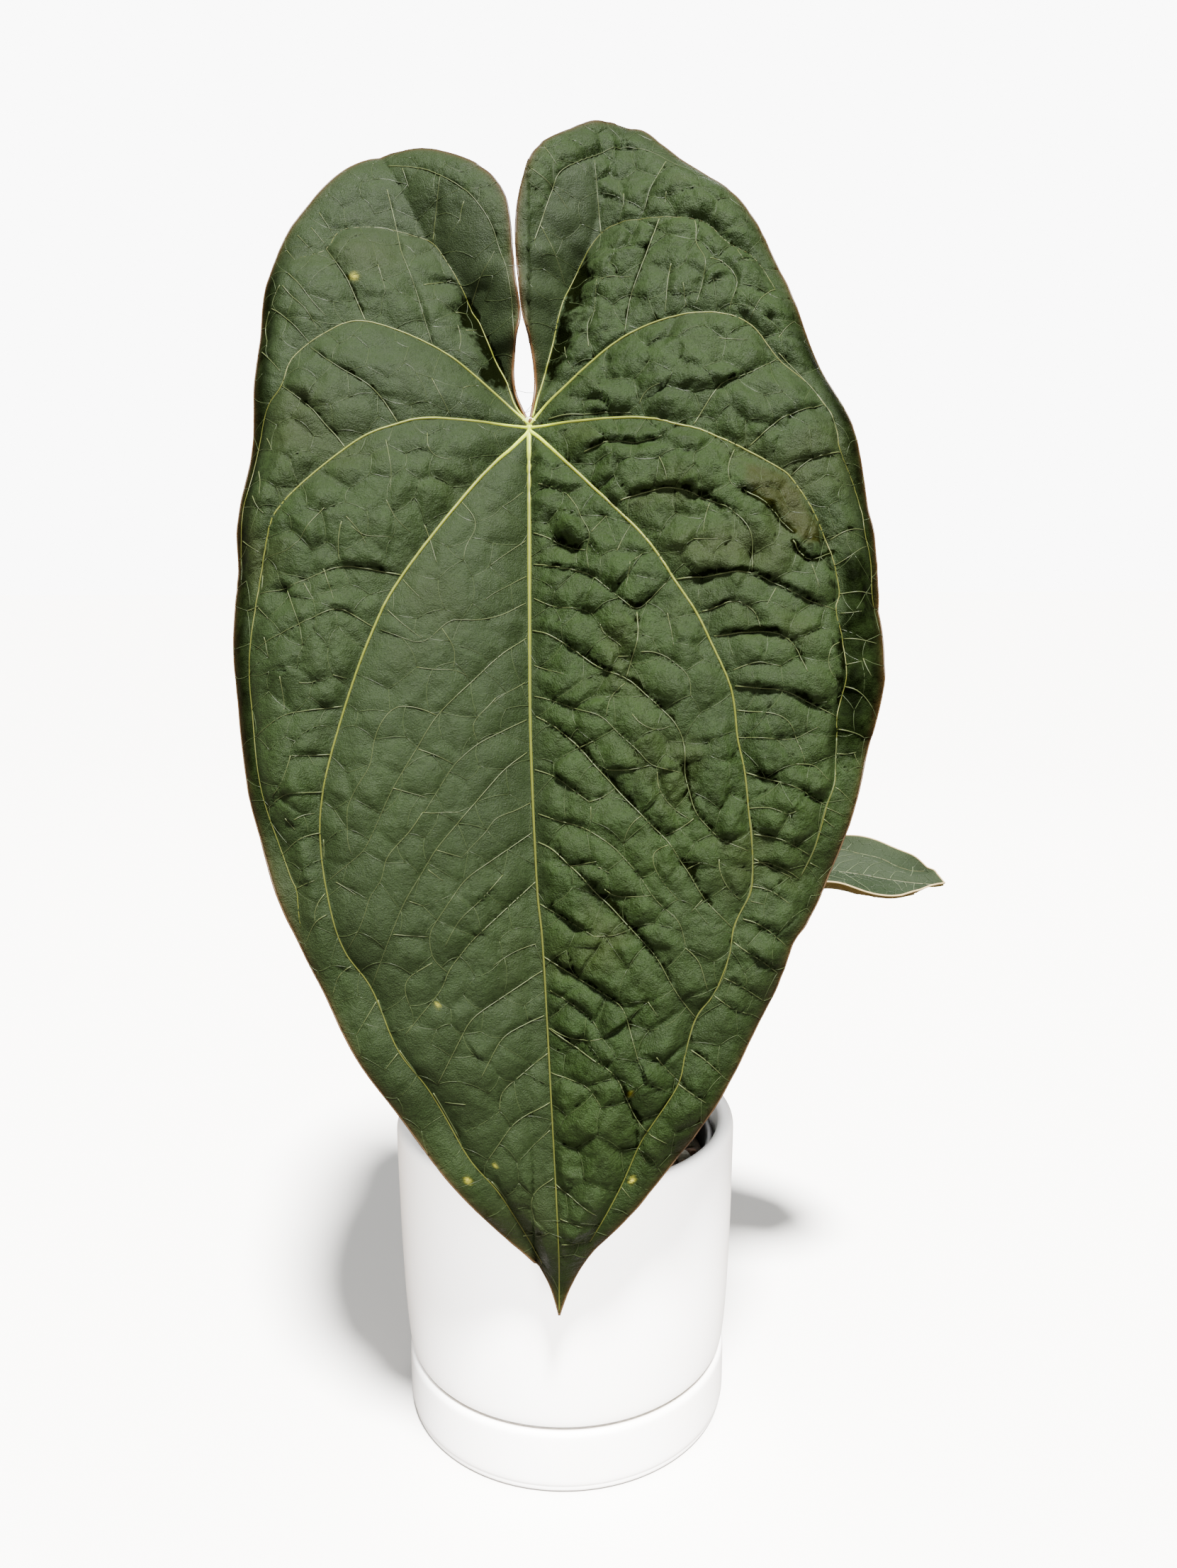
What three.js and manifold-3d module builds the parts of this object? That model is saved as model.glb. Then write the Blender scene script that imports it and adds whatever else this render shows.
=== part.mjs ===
import * as THREE from 'three';
import { mergeVertices } from 'three/addons/utils/BufferGeometryUtils.js';
import Module from 'manifold-3d';

const wasm = await Module();
wasm.setup();

// A hybrid anthurium in a white ceramic cylinder pot with its saucer.
// Millimetres, +Z up, +Y away from the viewer, origin on the surface under the pot's axis.

// Driving dimensions of the ceramic
const potRimRadius = 65;
const potTop = 117;
const potFloorRadius = 55.5;
const potWall = 6.2;
const potShoulder = 24.6;
const potFloorThickness = 6;
const drainRadius = 7;
const saucerRadius = 62.3;
const saucerHeight = 24;
const saucerWall = 4.6;
const saucerFloor = 6;
const saucerFootHeight = 2.8;
const fitGap = 0.3;
const roundSides = 40;
const stemSides = 14;

// Driving dimensions of what stands in the ceramic
const linerTop = 108.5;
const linerRimRadius = 57.4;
const linerTopRadius = 55.6;
const linerBaseRadius = 49;
const linerWall = 1.2;
const soilTop = 100;
const stemCentre = [2, 10];
const stemRadius = 11;
const stemTop = 132;
const stemRoot = 72;

// Driving dimensions of the leaves
const bladeThickness = 1.1;
const petioleRadius = 2.9;
const secondBladeScale = 0.43;
const secondBladeThickness = 0.8;
const junctionMain = new THREE.Vector3(-10.5, -24, 370);
const junctionSecond = new THREE.Vector3(30, 56, 195);
const mainLean = THREE.MathUtils.degToRad(12);

// Outline of the blade, in its own plane: x to the right, y up from the petiole's junction.
// The sinus edges run from the junction up to each lobe's top, the margins from there to the tip.
const sinusLeft = [[0, 1], [-4.5, 12], [-5.5, 20], [-4.7, 29], [-3, 38], [-4.5, 50], [-5.4, 60],
  [-6.2, 71], [-8, 81], [-12, 88.5], [-18, 95], [-27, 101.5], [-38, 106.5], [-50, 108]];
const marginLeft = [[-50, 108], [-55, 107], [-60, 103.5], [-69.5, 92], [-78, 79.5], [-83, 69],
  [-87, 57], [-90, 45], [-91, 22], [-91, 0], [-94, -30], [-94.5, -45], [-93, -92], [-88.5, -119],
  [-84, -136], [-76, -158], [-57, -198], [-43, -221], [-29, -241], [-10, -265], [3, -280], [8, -294]];
const sinusRight = [[0, 1], [2, 14], [1.2, 26], [-1.8, 38], [-3.2, 50], [-4, 60], [-4.2, 70],
  [-3, 82], [-0.5, 93], [3, 102], [9, 110.5], [15, 115], [22, 119], [31, 121.5]];
const marginRight = [[31, 121.5], [36, 121.5], [41, 120], [47, 114], [59, 100.5], [70.5, 87],
  [80.5, 70.5], [86.5, 54], [91.5, 36.5], [99.5, 18.5], [106, 3], [110.5, -15], [112.5, -31],
  [113.5, -55], [112, -87], [108, -106], [101, -129], [92.5, -152], [86, -164], [81.5, -170],
  [76, -185], [67, -203], [58, -219.5], [48, -235], [34, -253], [18.5, -271], [12, -283], [8, -294]];

// Main veins, which stand up as ribs on both faces
const midrib = [[0, 1], [0, -60], [0.2, -105], [2, -152], [3.7, -171], [5.8, -215], [7.9, -266],
  [8, -293]];
const mainVeins = [
  midrib,
  [[0, -1], [-4, -6], [-18, -23], [-40, -54.5], [-48.5, -72], [-57, -97], [-63, -122], [-64, -140],
    [-60.5, -160], [-56.5, -172], [-49, -183], [-41, -202], [-32, -215], [-20.5, -237], [-10, -251],
    [2.5, -276.5]],
  [[0, -1], [2, -1.5], [35, -38], [55.5, -71], [62.5, -90], [68, -134], [68.5, -152], [62.5, -165],
    [59, -181], [51, -193], [45, -214], [30, -240], [17, -268]],
  [[0, 0], [-31, -0.5], [-42, -3], [-56, -10], [-76, -29], [-82.5, -43], [-87, -79], [-86.5, -98],
    [-82, -125], [-73, -150]],
  [[0, 0], [34.5, -0.5], [62, -8], [71, -12.5], [84, -22], [91, -36], [97, -54], [97, -66],
    [99.5, -83], [96, -100], [95, -118], [86, -145], [81, -156]],
  [[0, 1], [-11.5, 12], [-30, 26], [-54, 34.5], [-67, 29.5], [-77, 20], [-80, 10], [-86, 0.5],
    [-91, -26]],
  [[0, 1], [8.5, 10.5], [32, 30], [55, 37], [72.5, 33], [82.5, 20], [92, 11.5], [98.5, 1.5],
    [102, -12.5], [108, -30]],
  [[-1, 3], [-4.4, 7], [-17, 41], [-33.5, 69], [-39, 72], [-52, 74], [-64.5, 71.5], [-68.5, 62.5],
    [-77, 59]],
  [[1, 4], [6.5, 25.5], [13, 51.5], [25, 73.5], [40, 77], [59, 74.5], [68, 65.5], [76, 61]],
];

// Lesser veins, which lie in creases between the bulges of the blade
const creases = [
  [[1.5, -38], [19, -46], [28, -50]],
  [[1.5, -48.5], [18.5, -52.5], [34, -66.5], [44, -56.5]],
  [[34, -66.5], [34.5, -74], [30.5, -87]],
  [[1.3, -70.5], [6.5, -72], [30.5, -87], [44, -100], [48, -107], [48, -118], [51, -130],
    [58.5, -138], [67, -141.5]],
  [[1.2, -98], [22, -114.5], [42, -137.5], [53, -156], [62, -165]],
  [[1.4, -138.5], [6, -140], [23.5, -156.5], [39.5, -175], [51, -193]],
  [[4, -174.5], [28.5, -189], [33, -206]],
  [[5.5, -197], [26, -210], [32.5, -225], [36, -229]],
  [[6, -211], [17.5, -214], [21.5, -220.5]],
  [[7.2, -247], [20, -256]],
  [[-1.2, -40.5], [-12.5, -50.5]],
  [[-1.2, -61.5], [-9, -66.5], [-18.5, -69], [-24, -68], [-33, -77], [-46, -72]],
  [[-1, -73], [-9, -79], [-28.5, -99], [-42, -122.5], [-50, -140.5], [-62, -150]],
  [[-1, -99.5], [-16, -107.5], [-23.5, -114.5], [-32, -129]],
  [[-1, -110], [-8, -115.5], [-28.5, -140], [-38.5, -157], [-49, -183]],
  [[0.5, -135.5], [-20, -149.5], [-31, -166], [-30, -174], [-25.5, -178]],
  [[1.5, -151], [-18, -168.5], [-25.5, -178], [-26.5, -182.5], [-38.5, -197]],
  [[3.5, -179], [-18.5, -192.5], [-29, -213]],
  [[4, -193], [-9, -198.5], [-15.5, -211]],
  [[5, -205], [-10, -216.5], [-10, -222.5]],
  [[5.6, -220.5], [-6, -226.5], [-14, -238]],
  [[-40, -54], [-58, -51.5], [-75.5, -59], [-84, -60]],
  [[-48.5, -71], [-58.5, -65], [-70, -70.5], [-85, -78]],
  [[-57.5, -96], [-75, -98.5], [-85, -105]],
  [[-61, -111], [-73, -111.5]],
  [[-63, -122.5], [-75, -123], [-81, -127.5]],
  [[-64, -135], [-69.5, -136], [-77, -142]],
  [[-62, -160], [-65.5, -161.5], [-69, -169]],
  [[-55, -176], [-59, -178], [-61, -185]],
  [[-47.5, -187], [-53.5, -197]],
  [[-41, -203], [-45, -208]],
  [[-41.5, -3], [-52, 11], [-69, 26]],
  [[-58.5, -12], [-69, 1], [-80, 10]],
  [[-54, 34.5], [-60.5, 50], [-68.5, 62.5]],
  [[-32, 27], [-47.5, 72]],
  [[-33.5, 70], [-30.5, 91]],
  [[-8, 34], [-9, 52], [-13, 70], [-20, 82], [-37, 96], [-50, 101]],
  [[29, -31], [47, -26], [61.5, -32], [67, -36.5], [69.5, -54]],
  [[46.5, -56], [69.5, -54], [88, -63.5], [97, -66]],
  [[58, -74.5], [72, -73], [79.5, -74.5], [83.5, -78.5], [86, -86.5]],
  [[64, -90.5], [79, -92], [95.5, -100]],
  [[67, -117.5], [82, -122], [92, -128]],
  [[69, -136.5], [76.5, -137.5], [86.5, -143]],
  [[69, -144], [81, -150]],
  [[81, 21], [62, 9.5], [53.5, -4]],
  [[101, -13], [90, -16.5], [84, -22]],
  [[71, -12], [81, -3], [97, 4]],
  [[25, 73.5], [23, 101]],
  [[45, 76], [34, 44], [32, 31]],
  [[2, 66], [10.5, 93], [20, 101], [33.5, 111], [43.5, 108], [53, 100]],
];

// The blade's tip, how far it sits off the upright axis, and how far up a blunter end reaches
const tipHeight = -294;
const midribOffset = 8;
const bluntReach = 30;

// How the surface of a blade rises and falls, all heights toward the viewer
const mainForm = {
  length: 294,
  arch: 14,
  lobeLean: 0.19,
  lobeCurl: 0.0005,
  trough: 14,
  troughReach: 45,
  sinusReach: 25,
  leftTroughTurn: -0.5,
  rightTroughTurn: 0.3,
  marginRoll: 7,
  marginReach: 10,
  waveHeight: 1.8,
  wavePitch: 43,
  waveReach: 22,
  bulge: 4.4,
  bulgeReach: 7,
  creaseShare: 0.72,
  creaseReach: 5,
  sideDroop: 0,
  ribRise: 0.9,
  ribHalfWidth: 1.7,
};
const secondForm = {
  ...mainForm,
  length: 294 * secondBladeScale,
  arch: 6,
  lobeLean: 0,
  lobeCurl: 0.004,
  trough: 3,
  troughReach: 25,
  sinusReach: 14,
  marginRoll: -4,
  marginReach: 4,
  waveHeight: 0.8,
  wavePitch: 31,
  waveReach: 12,
  bulge: 1.6,
  bulgeReach: 4,
  creaseReach: 3,
  sideDroop: 0.45,
  ribRise: 0.5,
  ribHalfWidth: 1.1,
};

// Spacing of the points on each blade
const mainSteps = { sinus: 2.4, margin: 6, rib: 8, fold: 8, fill: 10.5 };
const secondSteps = { sinus: 2, margin: 5.5, rib: 7, fold: 8, fill: 8.5 };

function resample(points, step) {
  const curve = new THREE.SplineCurve(points.map(([x, y]) => new THREE.Vector2(x, y)));
  const count = Math.max(1, Math.round(curve.getLength() / step));
  return curve.getSpacedPoints(count);
}

// Distance from a point to a run of straight pieces
function distanceToRun(x, y, run) {
  let best = Infinity;
  for (let i = 0; i + 1 < run.length; i += 1) {
    const dx = run[i + 1].x - run[i].x;
    const dy = run[i + 1].y - run[i].y;
    const along = ((x - run[i].x) * dx + (y - run[i].y) * dy) / (dx * dx + dy * dy);
    const t = Math.min(1, Math.max(0, along));
    best = Math.min(best, Math.hypot(x - run[i].x - t * dx, y - run[i].y - t * dy));
  }
  return best;
}

function isInside(x, y, loop) {
  let inside = false;
  for (let i = 0, j = loop.length - 1; i < loop.length; j = i, i += 1) {
    const crosses = (loop[i].y > y) !== (loop[j].y > y);
    if (crosses && x < (loop[j].x - loop[i].x) * (y - loop[i].y) / (loop[j].y - loop[i].y) + loop[i].x) {
      inside = !inside;
    }
  }
  return inside;
}

// The broad form: a trough along the midrib that forks into both lobes, an arch along the
// blade, margins that bend back, a slow wave along them, and one side that may droop at the tip
function broadHeight(x, y, marginDistance, form) {
  const turn = x < 0 ? form.leftTroughTurn : form.rightTroughTurn;
  const bottom = y > 0 ? turn * y : 0;
  const outward = x < 0 ? bottom - x : x - bottom;
  const reach = outward > 0 ? form.troughReach : form.sinusReach;
  const trough = form.trough * Math.tanh(Math.abs(outward) / reach);
  const share = -y / form.length;
  const along = y < 0
    ? 4 * form.arch * share * (1 - share)
    : -form.lobeLean * y - form.lobeCurl * y * y;
  const droop = form.sideDroop * Math.min(x, 0) * Math.max(share, 0) ** 4;
  const roll = form.marginRoll * Math.exp(-marginDistance / form.marginReach);
  const phase = 2 * Math.PI * y / form.wavePitch + (x < 0 ? 0 : 1.9);
  const wave = form.waveHeight * Math.sin(phase) * Math.exp(-marginDistance / form.waveReach);
  return trough + along + droop - roll + wave;
}

// Splits a set of points into triangles whose circles hold no other point
function triangulate(points) {
  const far = 5000;
  const all = [...points, new THREE.Vector2(-far, -far), new THREE.Vector2(far, -far),
    new THREE.Vector2(0, far)];
  const circle = (a, b, c) => {
    const [p, q, r] = [all[a], all[b], all[c]];
    const d = 2 * ((q.x - p.x) * (r.y - p.y) - (q.y - p.y) * (r.x - p.x));
    const qq = (q.x - p.x) ** 2 + (q.y - p.y) ** 2;
    const rr = (r.x - p.x) ** 2 + (r.y - p.y) ** 2;
    const ux = ((r.y - p.y) * qq - (q.y - p.y) * rr) / d;
    const uy = ((q.x - p.x) * rr - (r.x - p.x) * qq) / d;
    return { corners: [a, b, c], x: p.x + ux, y: p.y + uy, reach: ux * ux + uy * uy };
  };
  const n = points.length;
  let triangles = [circle(n, n + 1, n + 2)];
  points.forEach((point, index) => {
    const kept = [];
    const rim = new Map();
    for (const triangle of triangles) {
      if ((point.x - triangle.x) ** 2 + (point.y - triangle.y) ** 2 > triangle.reach) {
        kept.push(triangle);
        continue;
      }
      const [a, b, c] = triangle.corners;
      for (const [from, to] of [[a, b], [b, c], [c, a]]) {
        if (!rim.delete(`${to}_${from}`)) rim.set(`${from}_${to}`, [from, to]);
      }
    }
    for (const [from, to] of rim.values()) kept.push(circle(from, to, index));
    triangles = kept;
  });
  return triangles.map((triangle) => triangle.corners).filter((corners) => Math.max(...corners) < n);
}

// One blade as a closed solid: points along the outline, ribs, creases and between them are
// joined into triangles, raised to the surface, and the same triangles close it below.
// A blade may be a smaller copy, turned left for right, with a blunter end.
function makeBlade(copy, steps, thickness, form, origin, across, up) {
  const spread = (y) => copy.scale * (1 + copy.blunt * Math.exp((tipHeight - y) / bluntReach));
  const side = copy.mirrored ? -1 : 1;
  const scaled = (points) => points.map(([x, y]) => {
    const axis = midribOffset * y / tipHeight;
    return [side * (axis * copy.scale + (x - axis) * spread(y)), y * copy.scale];
  });
  const edges = [sinusLeft, marginLeft, marginRight, sinusRight].map(scaled);
  const sides = edges.map((points, i) => resample(points, i % 3 === 0 ? steps.sinus : steps.margin));
  const [leftSinus, leftMargin, rightMargin, rightSinus] = sides;
  const loop = [...leftSinus, ...leftMargin.slice(1), ...rightMargin.slice(1, -1).reverse(),
    ...rightSinus.slice(1).reverse()];
  const margins = [leftMargin, rightMargin];
  const ribs = mainVeins.map(scaled).map((points) => resample(points, steps.rib));
  const folds = creases.map(scaled).map((points) => resample(points, steps.fold));
  const outline = [...loop, loop[0]];

  // No two points nearer than their kind allows, the outline first
  const points = [...loop];
  const add = (x, y, clear, edgeClear) => {
    if (!isInside(x, y, loop) || distanceToRun(x, y, outline) < edgeClear) return;
    if (points.every((p) => Math.hypot(p.x - x, p.y - y) > clear)) points.push(new THREE.Vector2(x, y));
  };
  const crest = new Set();
  for (const rib of ribs) {
    for (const p of rib) {
      const before = points.length;
      add(p.x, p.y, form.ribHalfWidth, form.ribHalfWidth * 0.7);
      if (points.length > before) crest.add(before);
    }
  }
  for (const rib of ribs) {
    rib.forEach((p, i) => {
      const next = rib[Math.min(i + 1, rib.length - 1)];
      const last = rib[Math.max(i - 1, 0)];
      const run = Math.hypot(next.x - last.x, next.y - last.y);
      const nx = -(next.y - last.y) / run * form.ribHalfWidth;
      const ny = (next.x - last.x) / run * form.ribHalfWidth;
      for (const way of [1, -1]) {
        add(p.x + way * nx, p.y + way * ny, form.ribHalfWidth * 0.9, form.ribHalfWidth * 0.7);
      }
    });
  }
  for (const fold of folds) for (const p of fold) add(p.x, p.y, steps.fold * 0.5, steps.fold * 0.3);
  const pitch = steps.fill;
  const field = new THREE.Box2().setFromPoints(loop);
  for (let row = 0, y = field.min.y; y < field.max.y; row += 1, y += pitch * 0.87) {
    for (let x = field.min.x + (row % 2) * pitch / 2; x < field.max.x; x += pitch) {
      add(x, y, pitch * 0.62, pitch * 0.45);
    }
  }

  // Heights of the upper face, and the depth of the blade below it
  const upper = points.map(({ x, y }, index) => {
    const marginDistance = Math.min(...margins.map((run) => distanceToRun(x, y, run)));
    const ribDistance = Math.min(...ribs.map((run) => distanceToRun(x, y, run)));
    const foldDistance = Math.min(...folds.map((run) => distanceToRun(x, y, run)));
    const swell = form.bulge * (1 - Math.exp(-ribDistance / form.bulgeReach))
      * (1 - form.creaseShare * Math.exp(-foldDistance / form.creaseReach));
    const rise = crest.has(index) ? form.ribRise : 0;
    return broadHeight(x, y, marginDistance, form) + swell + rise;
  });
  const depth = points.map((_, index) => thickness + (crest.has(index) ? 2 * form.ribRise : 0));

  const faces = triangulate(points).filter(([a, b, c]) => {
    const x = (points[a].x + points[b].x + points[c].x) / 3;
    const y = (points[a].y + points[b].y + points[c].y) / 3;
    return isInside(x, y, loop);
  });
  const n = points.length;
  const index = [];
  const rim = new Map();
  for (const corners of faces) {
    const [a, b, c] = corners;
    const turn = (points[b].x - points[a].x) * (points[c].y - points[a].y)
      - (points[b].y - points[a].y) * (points[c].x - points[a].x);
    const [p, q, r] = turn > 0 ? [a, b, c] : [a, c, b];
    index.push(p, q, r, n + p, n + r, n + q);
    for (const [from, to] of [[p, q], [q, r], [r, p]]) {
      if (!rim.delete(`${to}_${from}`)) rim.set(`${from}_${to}`, [from, to]);
    }
  }
  for (const [from, to] of rim.values()) index.push(from, n + from, to, to, n + from, n + to);

  const normal = new THREE.Vector3().crossVectors(across, up);
  const place = (p, height) => origin.clone().addScaledVector(across, p.x).addScaledVector(up, p.y)
    .addScaledVector(normal, height);
  const top = points.map((p, i) => place(p, upper[i]));
  const under = points.map((p, i) => place(p, upper[i] - depth[i] + (crest.has(i) ? form.ribRise : 0)));
  const geometry = new THREE.BufferGeometry().setFromPoints([...top, ...under]);
  geometry.setIndex(index);
  return geometry;
}

const group = new THREE.Group();

// Turns a closed shape the right way out
function faceOut(geometry) {
  const position = geometry.attributes.position;
  const index = geometry.index.array;
  const corner = [0, 1, 2].map(() => new THREE.Vector3());
  let volume = 0;
  for (let i = 0; i < index.length; i += 3) {
    corner.forEach((p, k) => p.fromBufferAttribute(position, index[i + k]));
    volume += corner[0].dot(corner[1].cross(corner[2]));
  }
  if (volume < 0) {
    for (let i = 0; i < index.length; i += 3) [index[i], index[i + 1]] = [index[i + 1], index[i]];
  }
  return geometry;
}

function bareCopy(geometry) {
  const shape = geometry.clone();
  shape.deleteAttribute('normal');
  shape.deleteAttribute('uv');
  return mergeVertices(shape, 1e-4);
}

// A body of revolution about the upright axis, from [radius, height] pairs
function turned(profile, sides = roundSides) {
  const points = profile.map(([radius, height]) => new THREE.Vector2(radius, height));
  return faceOut(bareCopy(new THREE.LatheGeometry(points, sides).rotateX(Math.PI / 2)));
}

function toSolid(geometry) {
  const shape = bareCopy(geometry);
  const vertProperties = new Float32Array(shape.attributes.position.array);
  const triVerts = new Uint32Array(shape.index.array);
  return new wasm.Manifold(new wasm.Mesh({ numProp: 3, vertProperties, triVerts }));
}

function toGeometry(solid) {
  const { vertProperties, triVerts } = solid.getMesh();
  const geometry = new THREE.BufferGeometry();
  geometry.setAttribute('position', new THREE.BufferAttribute(vertProperties, 3));
  geometry.setIndex(new THREE.BufferAttribute(triVerts, 1));
  return geometry;
}

// A stalk along a smooth path, its radius given at even steps from foot to top
function makeStalk(path, radii, steps, sides) {
  const curve = new THREE.CatmullRomCurve3(path.map((p) => new THREE.Vector3(...p)));
  const frames = curve.computeFrenetFrames(steps);
  const vertices = [curve.getPointAt(0)];
  const index = [];
  for (let i = 0; i <= steps; i += 1) {
    const centre = curve.getPointAt(i / steps);
    const at = i / steps * (radii.length - 1);
    const low = Math.min(Math.floor(at), radii.length - 2);
    const radius = THREE.MathUtils.lerp(radii[low], radii[low + 1], at - low);
    for (let k = 0; k < sides; k += 1) {
      const angle = 2 * Math.PI * k / sides;
      vertices.push(centre.clone().addScaledVector(frames.normals[i], radius * Math.cos(angle))
        .addScaledVector(frames.binormals[i], radius * Math.sin(angle)));
    }
  }
  vertices.push(curve.getPointAt(1));
  const ring = (i, k) => 1 + i * sides + k % sides;
  for (let k = 0; k < sides; k += 1) {
    index.push(0, ring(0, k + 1), ring(0, k), vertices.length - 1, ring(steps, k), ring(steps, k + 1));
    for (let i = 0; i < steps; i += 1) {
      index.push(ring(i, k), ring(i, k + 1), ring(i + 1, k));
      index.push(ring(i + 1, k), ring(i, k + 1), ring(i + 1, k + 1));
    }
  }
  return faceOut(new THREE.BufferGeometry().setFromPoints(vertices).setIndex(index));
}

// Repeatable numbers between 0 and 1
let seed = 41;
function draw() {
  seed = (seed * 16807) % 2147483647;
  return seed / 2147483647;
}

function addPiece(name, geometry, color, roughness) {
  const shape = bareCopy(geometry);
  shape.computeVertexNormals();
  const mesh = new THREE.Mesh(shape, new THREE.MeshStandardMaterial({ color, roughness, metalness: 0 }));
  mesh.name = name;
  group.add(mesh);
}

function addSaucer() {
  const inner = saucerRadius - saucerWall;
  addPiece('saucer', turned([
    [0, 0], [60.4, 0], [61.3, 0.5], [61.6, 1.4], [61.6, saucerFootHeight - 0.2],
    [61.9, saucerFootHeight], [saucerRadius, 4.4], [saucerRadius, saucerHeight - 2.6],
    [saucerRadius - 0.3, saucerHeight - 1.2], [saucerRadius - 1, saucerHeight - 0.3],
    [saucerRadius - 2, saucerHeight], [saucerRadius - 3.4, saucerHeight - 0.3],
    [inner + 0.2, saucerHeight - 1.4], [inner, saucerHeight - 3], [inner - 0.1, saucerFloor + 3],
    [inner - 1, saucerFloor + 0.9], [inner - 3, saucerFloor], [0, saucerFloor],
  ]), 0xf1efec, 0.4);
}

function addPot() {
  const base = saucerFloor + fitGap;
  const inner = potRimRadius - potWall;
  const floor = base + potFloorThickness;
  addPiece('pot', turned([
    [drainRadius, base], [potFloorRadius - 2, base], [potFloorRadius, base + 0.8],
    [potFloorRadius + 1, base + 2.8], [potFloorRadius + 1.2, potShoulder - 0.2],
    [potFloorRadius + 1.8, potShoulder], [60.2, potShoulder + 0.3], [61.2, potShoulder + 1.2],
    [61.8, potShoulder + 3], [62.3, 31], [62.9, 38], [63.6, 50], [64.3, 70], [64.7, 92],
    [potRimRadius, potTop - 4.6], [potRimRadius - 0.1, potTop - 2.8],
    [potRimRadius - 0.7, potTop - 1.2], [potRimRadius - 1.8, potTop - 0.2],
    [potRimRadius - 3.1, potTop], [potRimRadius - 4.6, potTop - 0.3],
    [inner + 0.5, potTop - 1.2], [inner, potTop - 2.8], [inner - 0.2, potTop - 7],
    [inner - 1.2, floor + 9], [inner - 2.6, floor + 3], [inner - 6, floor + 0.4],
    [inner - 10, floor], [drainRadius, floor], [drainRadius, base],
  ]), 0xf1efec, 0.4);
  return floor;
}

function addLiner(potFloor) {
  const base = potFloor + fitGap;
  addPiece('nursery_pot', turned([
    [drainRadius, base], [linerBaseRadius - 1, base], [linerBaseRadius, base + 1],
    [linerTopRadius, linerTop - 2.2], [linerRimRadius - 0.3, linerTop - 2.2],
    [linerRimRadius, linerTop - 1.1], [linerRimRadius - 0.4, linerTop],
    [linerTopRadius - linerWall + 0.3, linerTop], [linerTopRadius - linerWall, linerTop - 2],
    [linerBaseRadius - linerWall, base + linerWall + 1], [linerBaseRadius - linerWall - 1, base + linerWall],
    [drainRadius, base + linerWall], [drainRadius, base],
  ]), 0x161718, 0.5);
  return base + linerWall;
}

// The short stem with the scars of old leaves and five roots that dive into the mix.
// grow makes the same shape a little larger, for the hole it stands in.
function makeStem(grow) {
  const profile = [[0, stemRoot - grow], [4 + grow, stemRoot - grow]];
  const scars = 5;
  for (let i = 0; i < scars; i += 1) {
    const low = THREE.MathUtils.lerp(stemRoot + 6, stemTop - 4, i / scars);
    const high = THREE.MathUtils.lerp(stemRoot + 6, stemTop - 4, (i + 0.75) / scars);
    profile.push([stemRadius - 2 + grow, low], [stemRadius - 0.2 * i + grow, high]);
  }
  profile.push([stemRadius - 2.4 + grow, stemTop - 1.5], [stemRadius - 3.4 + grow, stemTop + grow]);
  profile.push([0, stemTop + grow]);
  const body = turned(profile, stemSides).translate(stemCentre[0], stemCentre[1], 0);
  let stem = toSolid(body);
  const roots = 5;
  for (let i = 0; i < roots; i += 1) {
    const angle = 2 * Math.PI * (i + 0.35) / roots;
    const reach = 21 + 4 * Math.sin(3.1 * i);
    const start = 113 + 2.5 * (i % 3);
    const along = (out, height) => [stemCentre[0] + out * Math.cos(angle),
      stemCentre[1] + out * Math.sin(angle), height];
    const path = [along(4, start), along(0.5 * reach, start + 1), along(0.85 * reach, start - 6),
      along(reach, soilTop - 6), along(reach + 1, soilTop - 20)];
    const radii = [2.4, 2.3, 2.1, 1.9, 1.5].map((radius) => radius + grow);
    stem = stem.add(toSolid(makeStalk(path, radii, 9, 6)));
  }
  return stem;
}

// The mix: a filled body with a lumpy top of bark, pumice and fibre fused to it
function addSubstrate(linerFloor, stemHole) {
  const base = linerFloor + fitGap;
  const outer = (height) => {
    const share = (height - linerFloor - 1) / (linerTop - linerFloor - 1);
    return THREE.MathUtils.lerp(linerBaseRadius, linerTopRadius, share) - linerWall - 0.5;
  };
  const edge = outer(soilTop);
  let mix = toSolid(turned([
    [0, base], [outer(base) - 2, base], [outer(base + 3), base + 3], [edge, soilTop - 1],
    [edge - 3, soilTop + 0.6], [34, soilTop + 1.6], [0, soilTop + 2.4],
  ]));
  const lumps = 40;
  for (let i = 0; i < lumps; i += 1) {
    const size = 3.2 + 3.6 * draw();
    const out = (edge - size - 1.2) * Math.sqrt((i + 0.5) / lumps);
    const angle = i * 2.39996 + 0.4 * draw();
    const lump = new THREE.IcosahedronGeometry(size, 0).scale(1, 0.6 + 0.35 * draw(), 0.5 + 0.3 * draw());
    lump.rotateZ(6 * draw()).rotateX(0.5 * draw());
    lump.translate(out * Math.cos(angle), out * Math.sin(angle), soilTop + 1.2 + 1.2 * draw());
    mix = mix.add(toSolid(lump));
  }
  addPiece('substrate', toGeometry(mix.subtract(stemHole)), 0x6d5c48, 0.95);
}

addSaucer();
const potFloor = addPot();
const linerFloor = addLiner(potFloor);
addSubstrate(linerFloor, makeStem(0.4));
addPiece('stem', toGeometry(makeStem(0)), 0x6f7440, 0.7);

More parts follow.
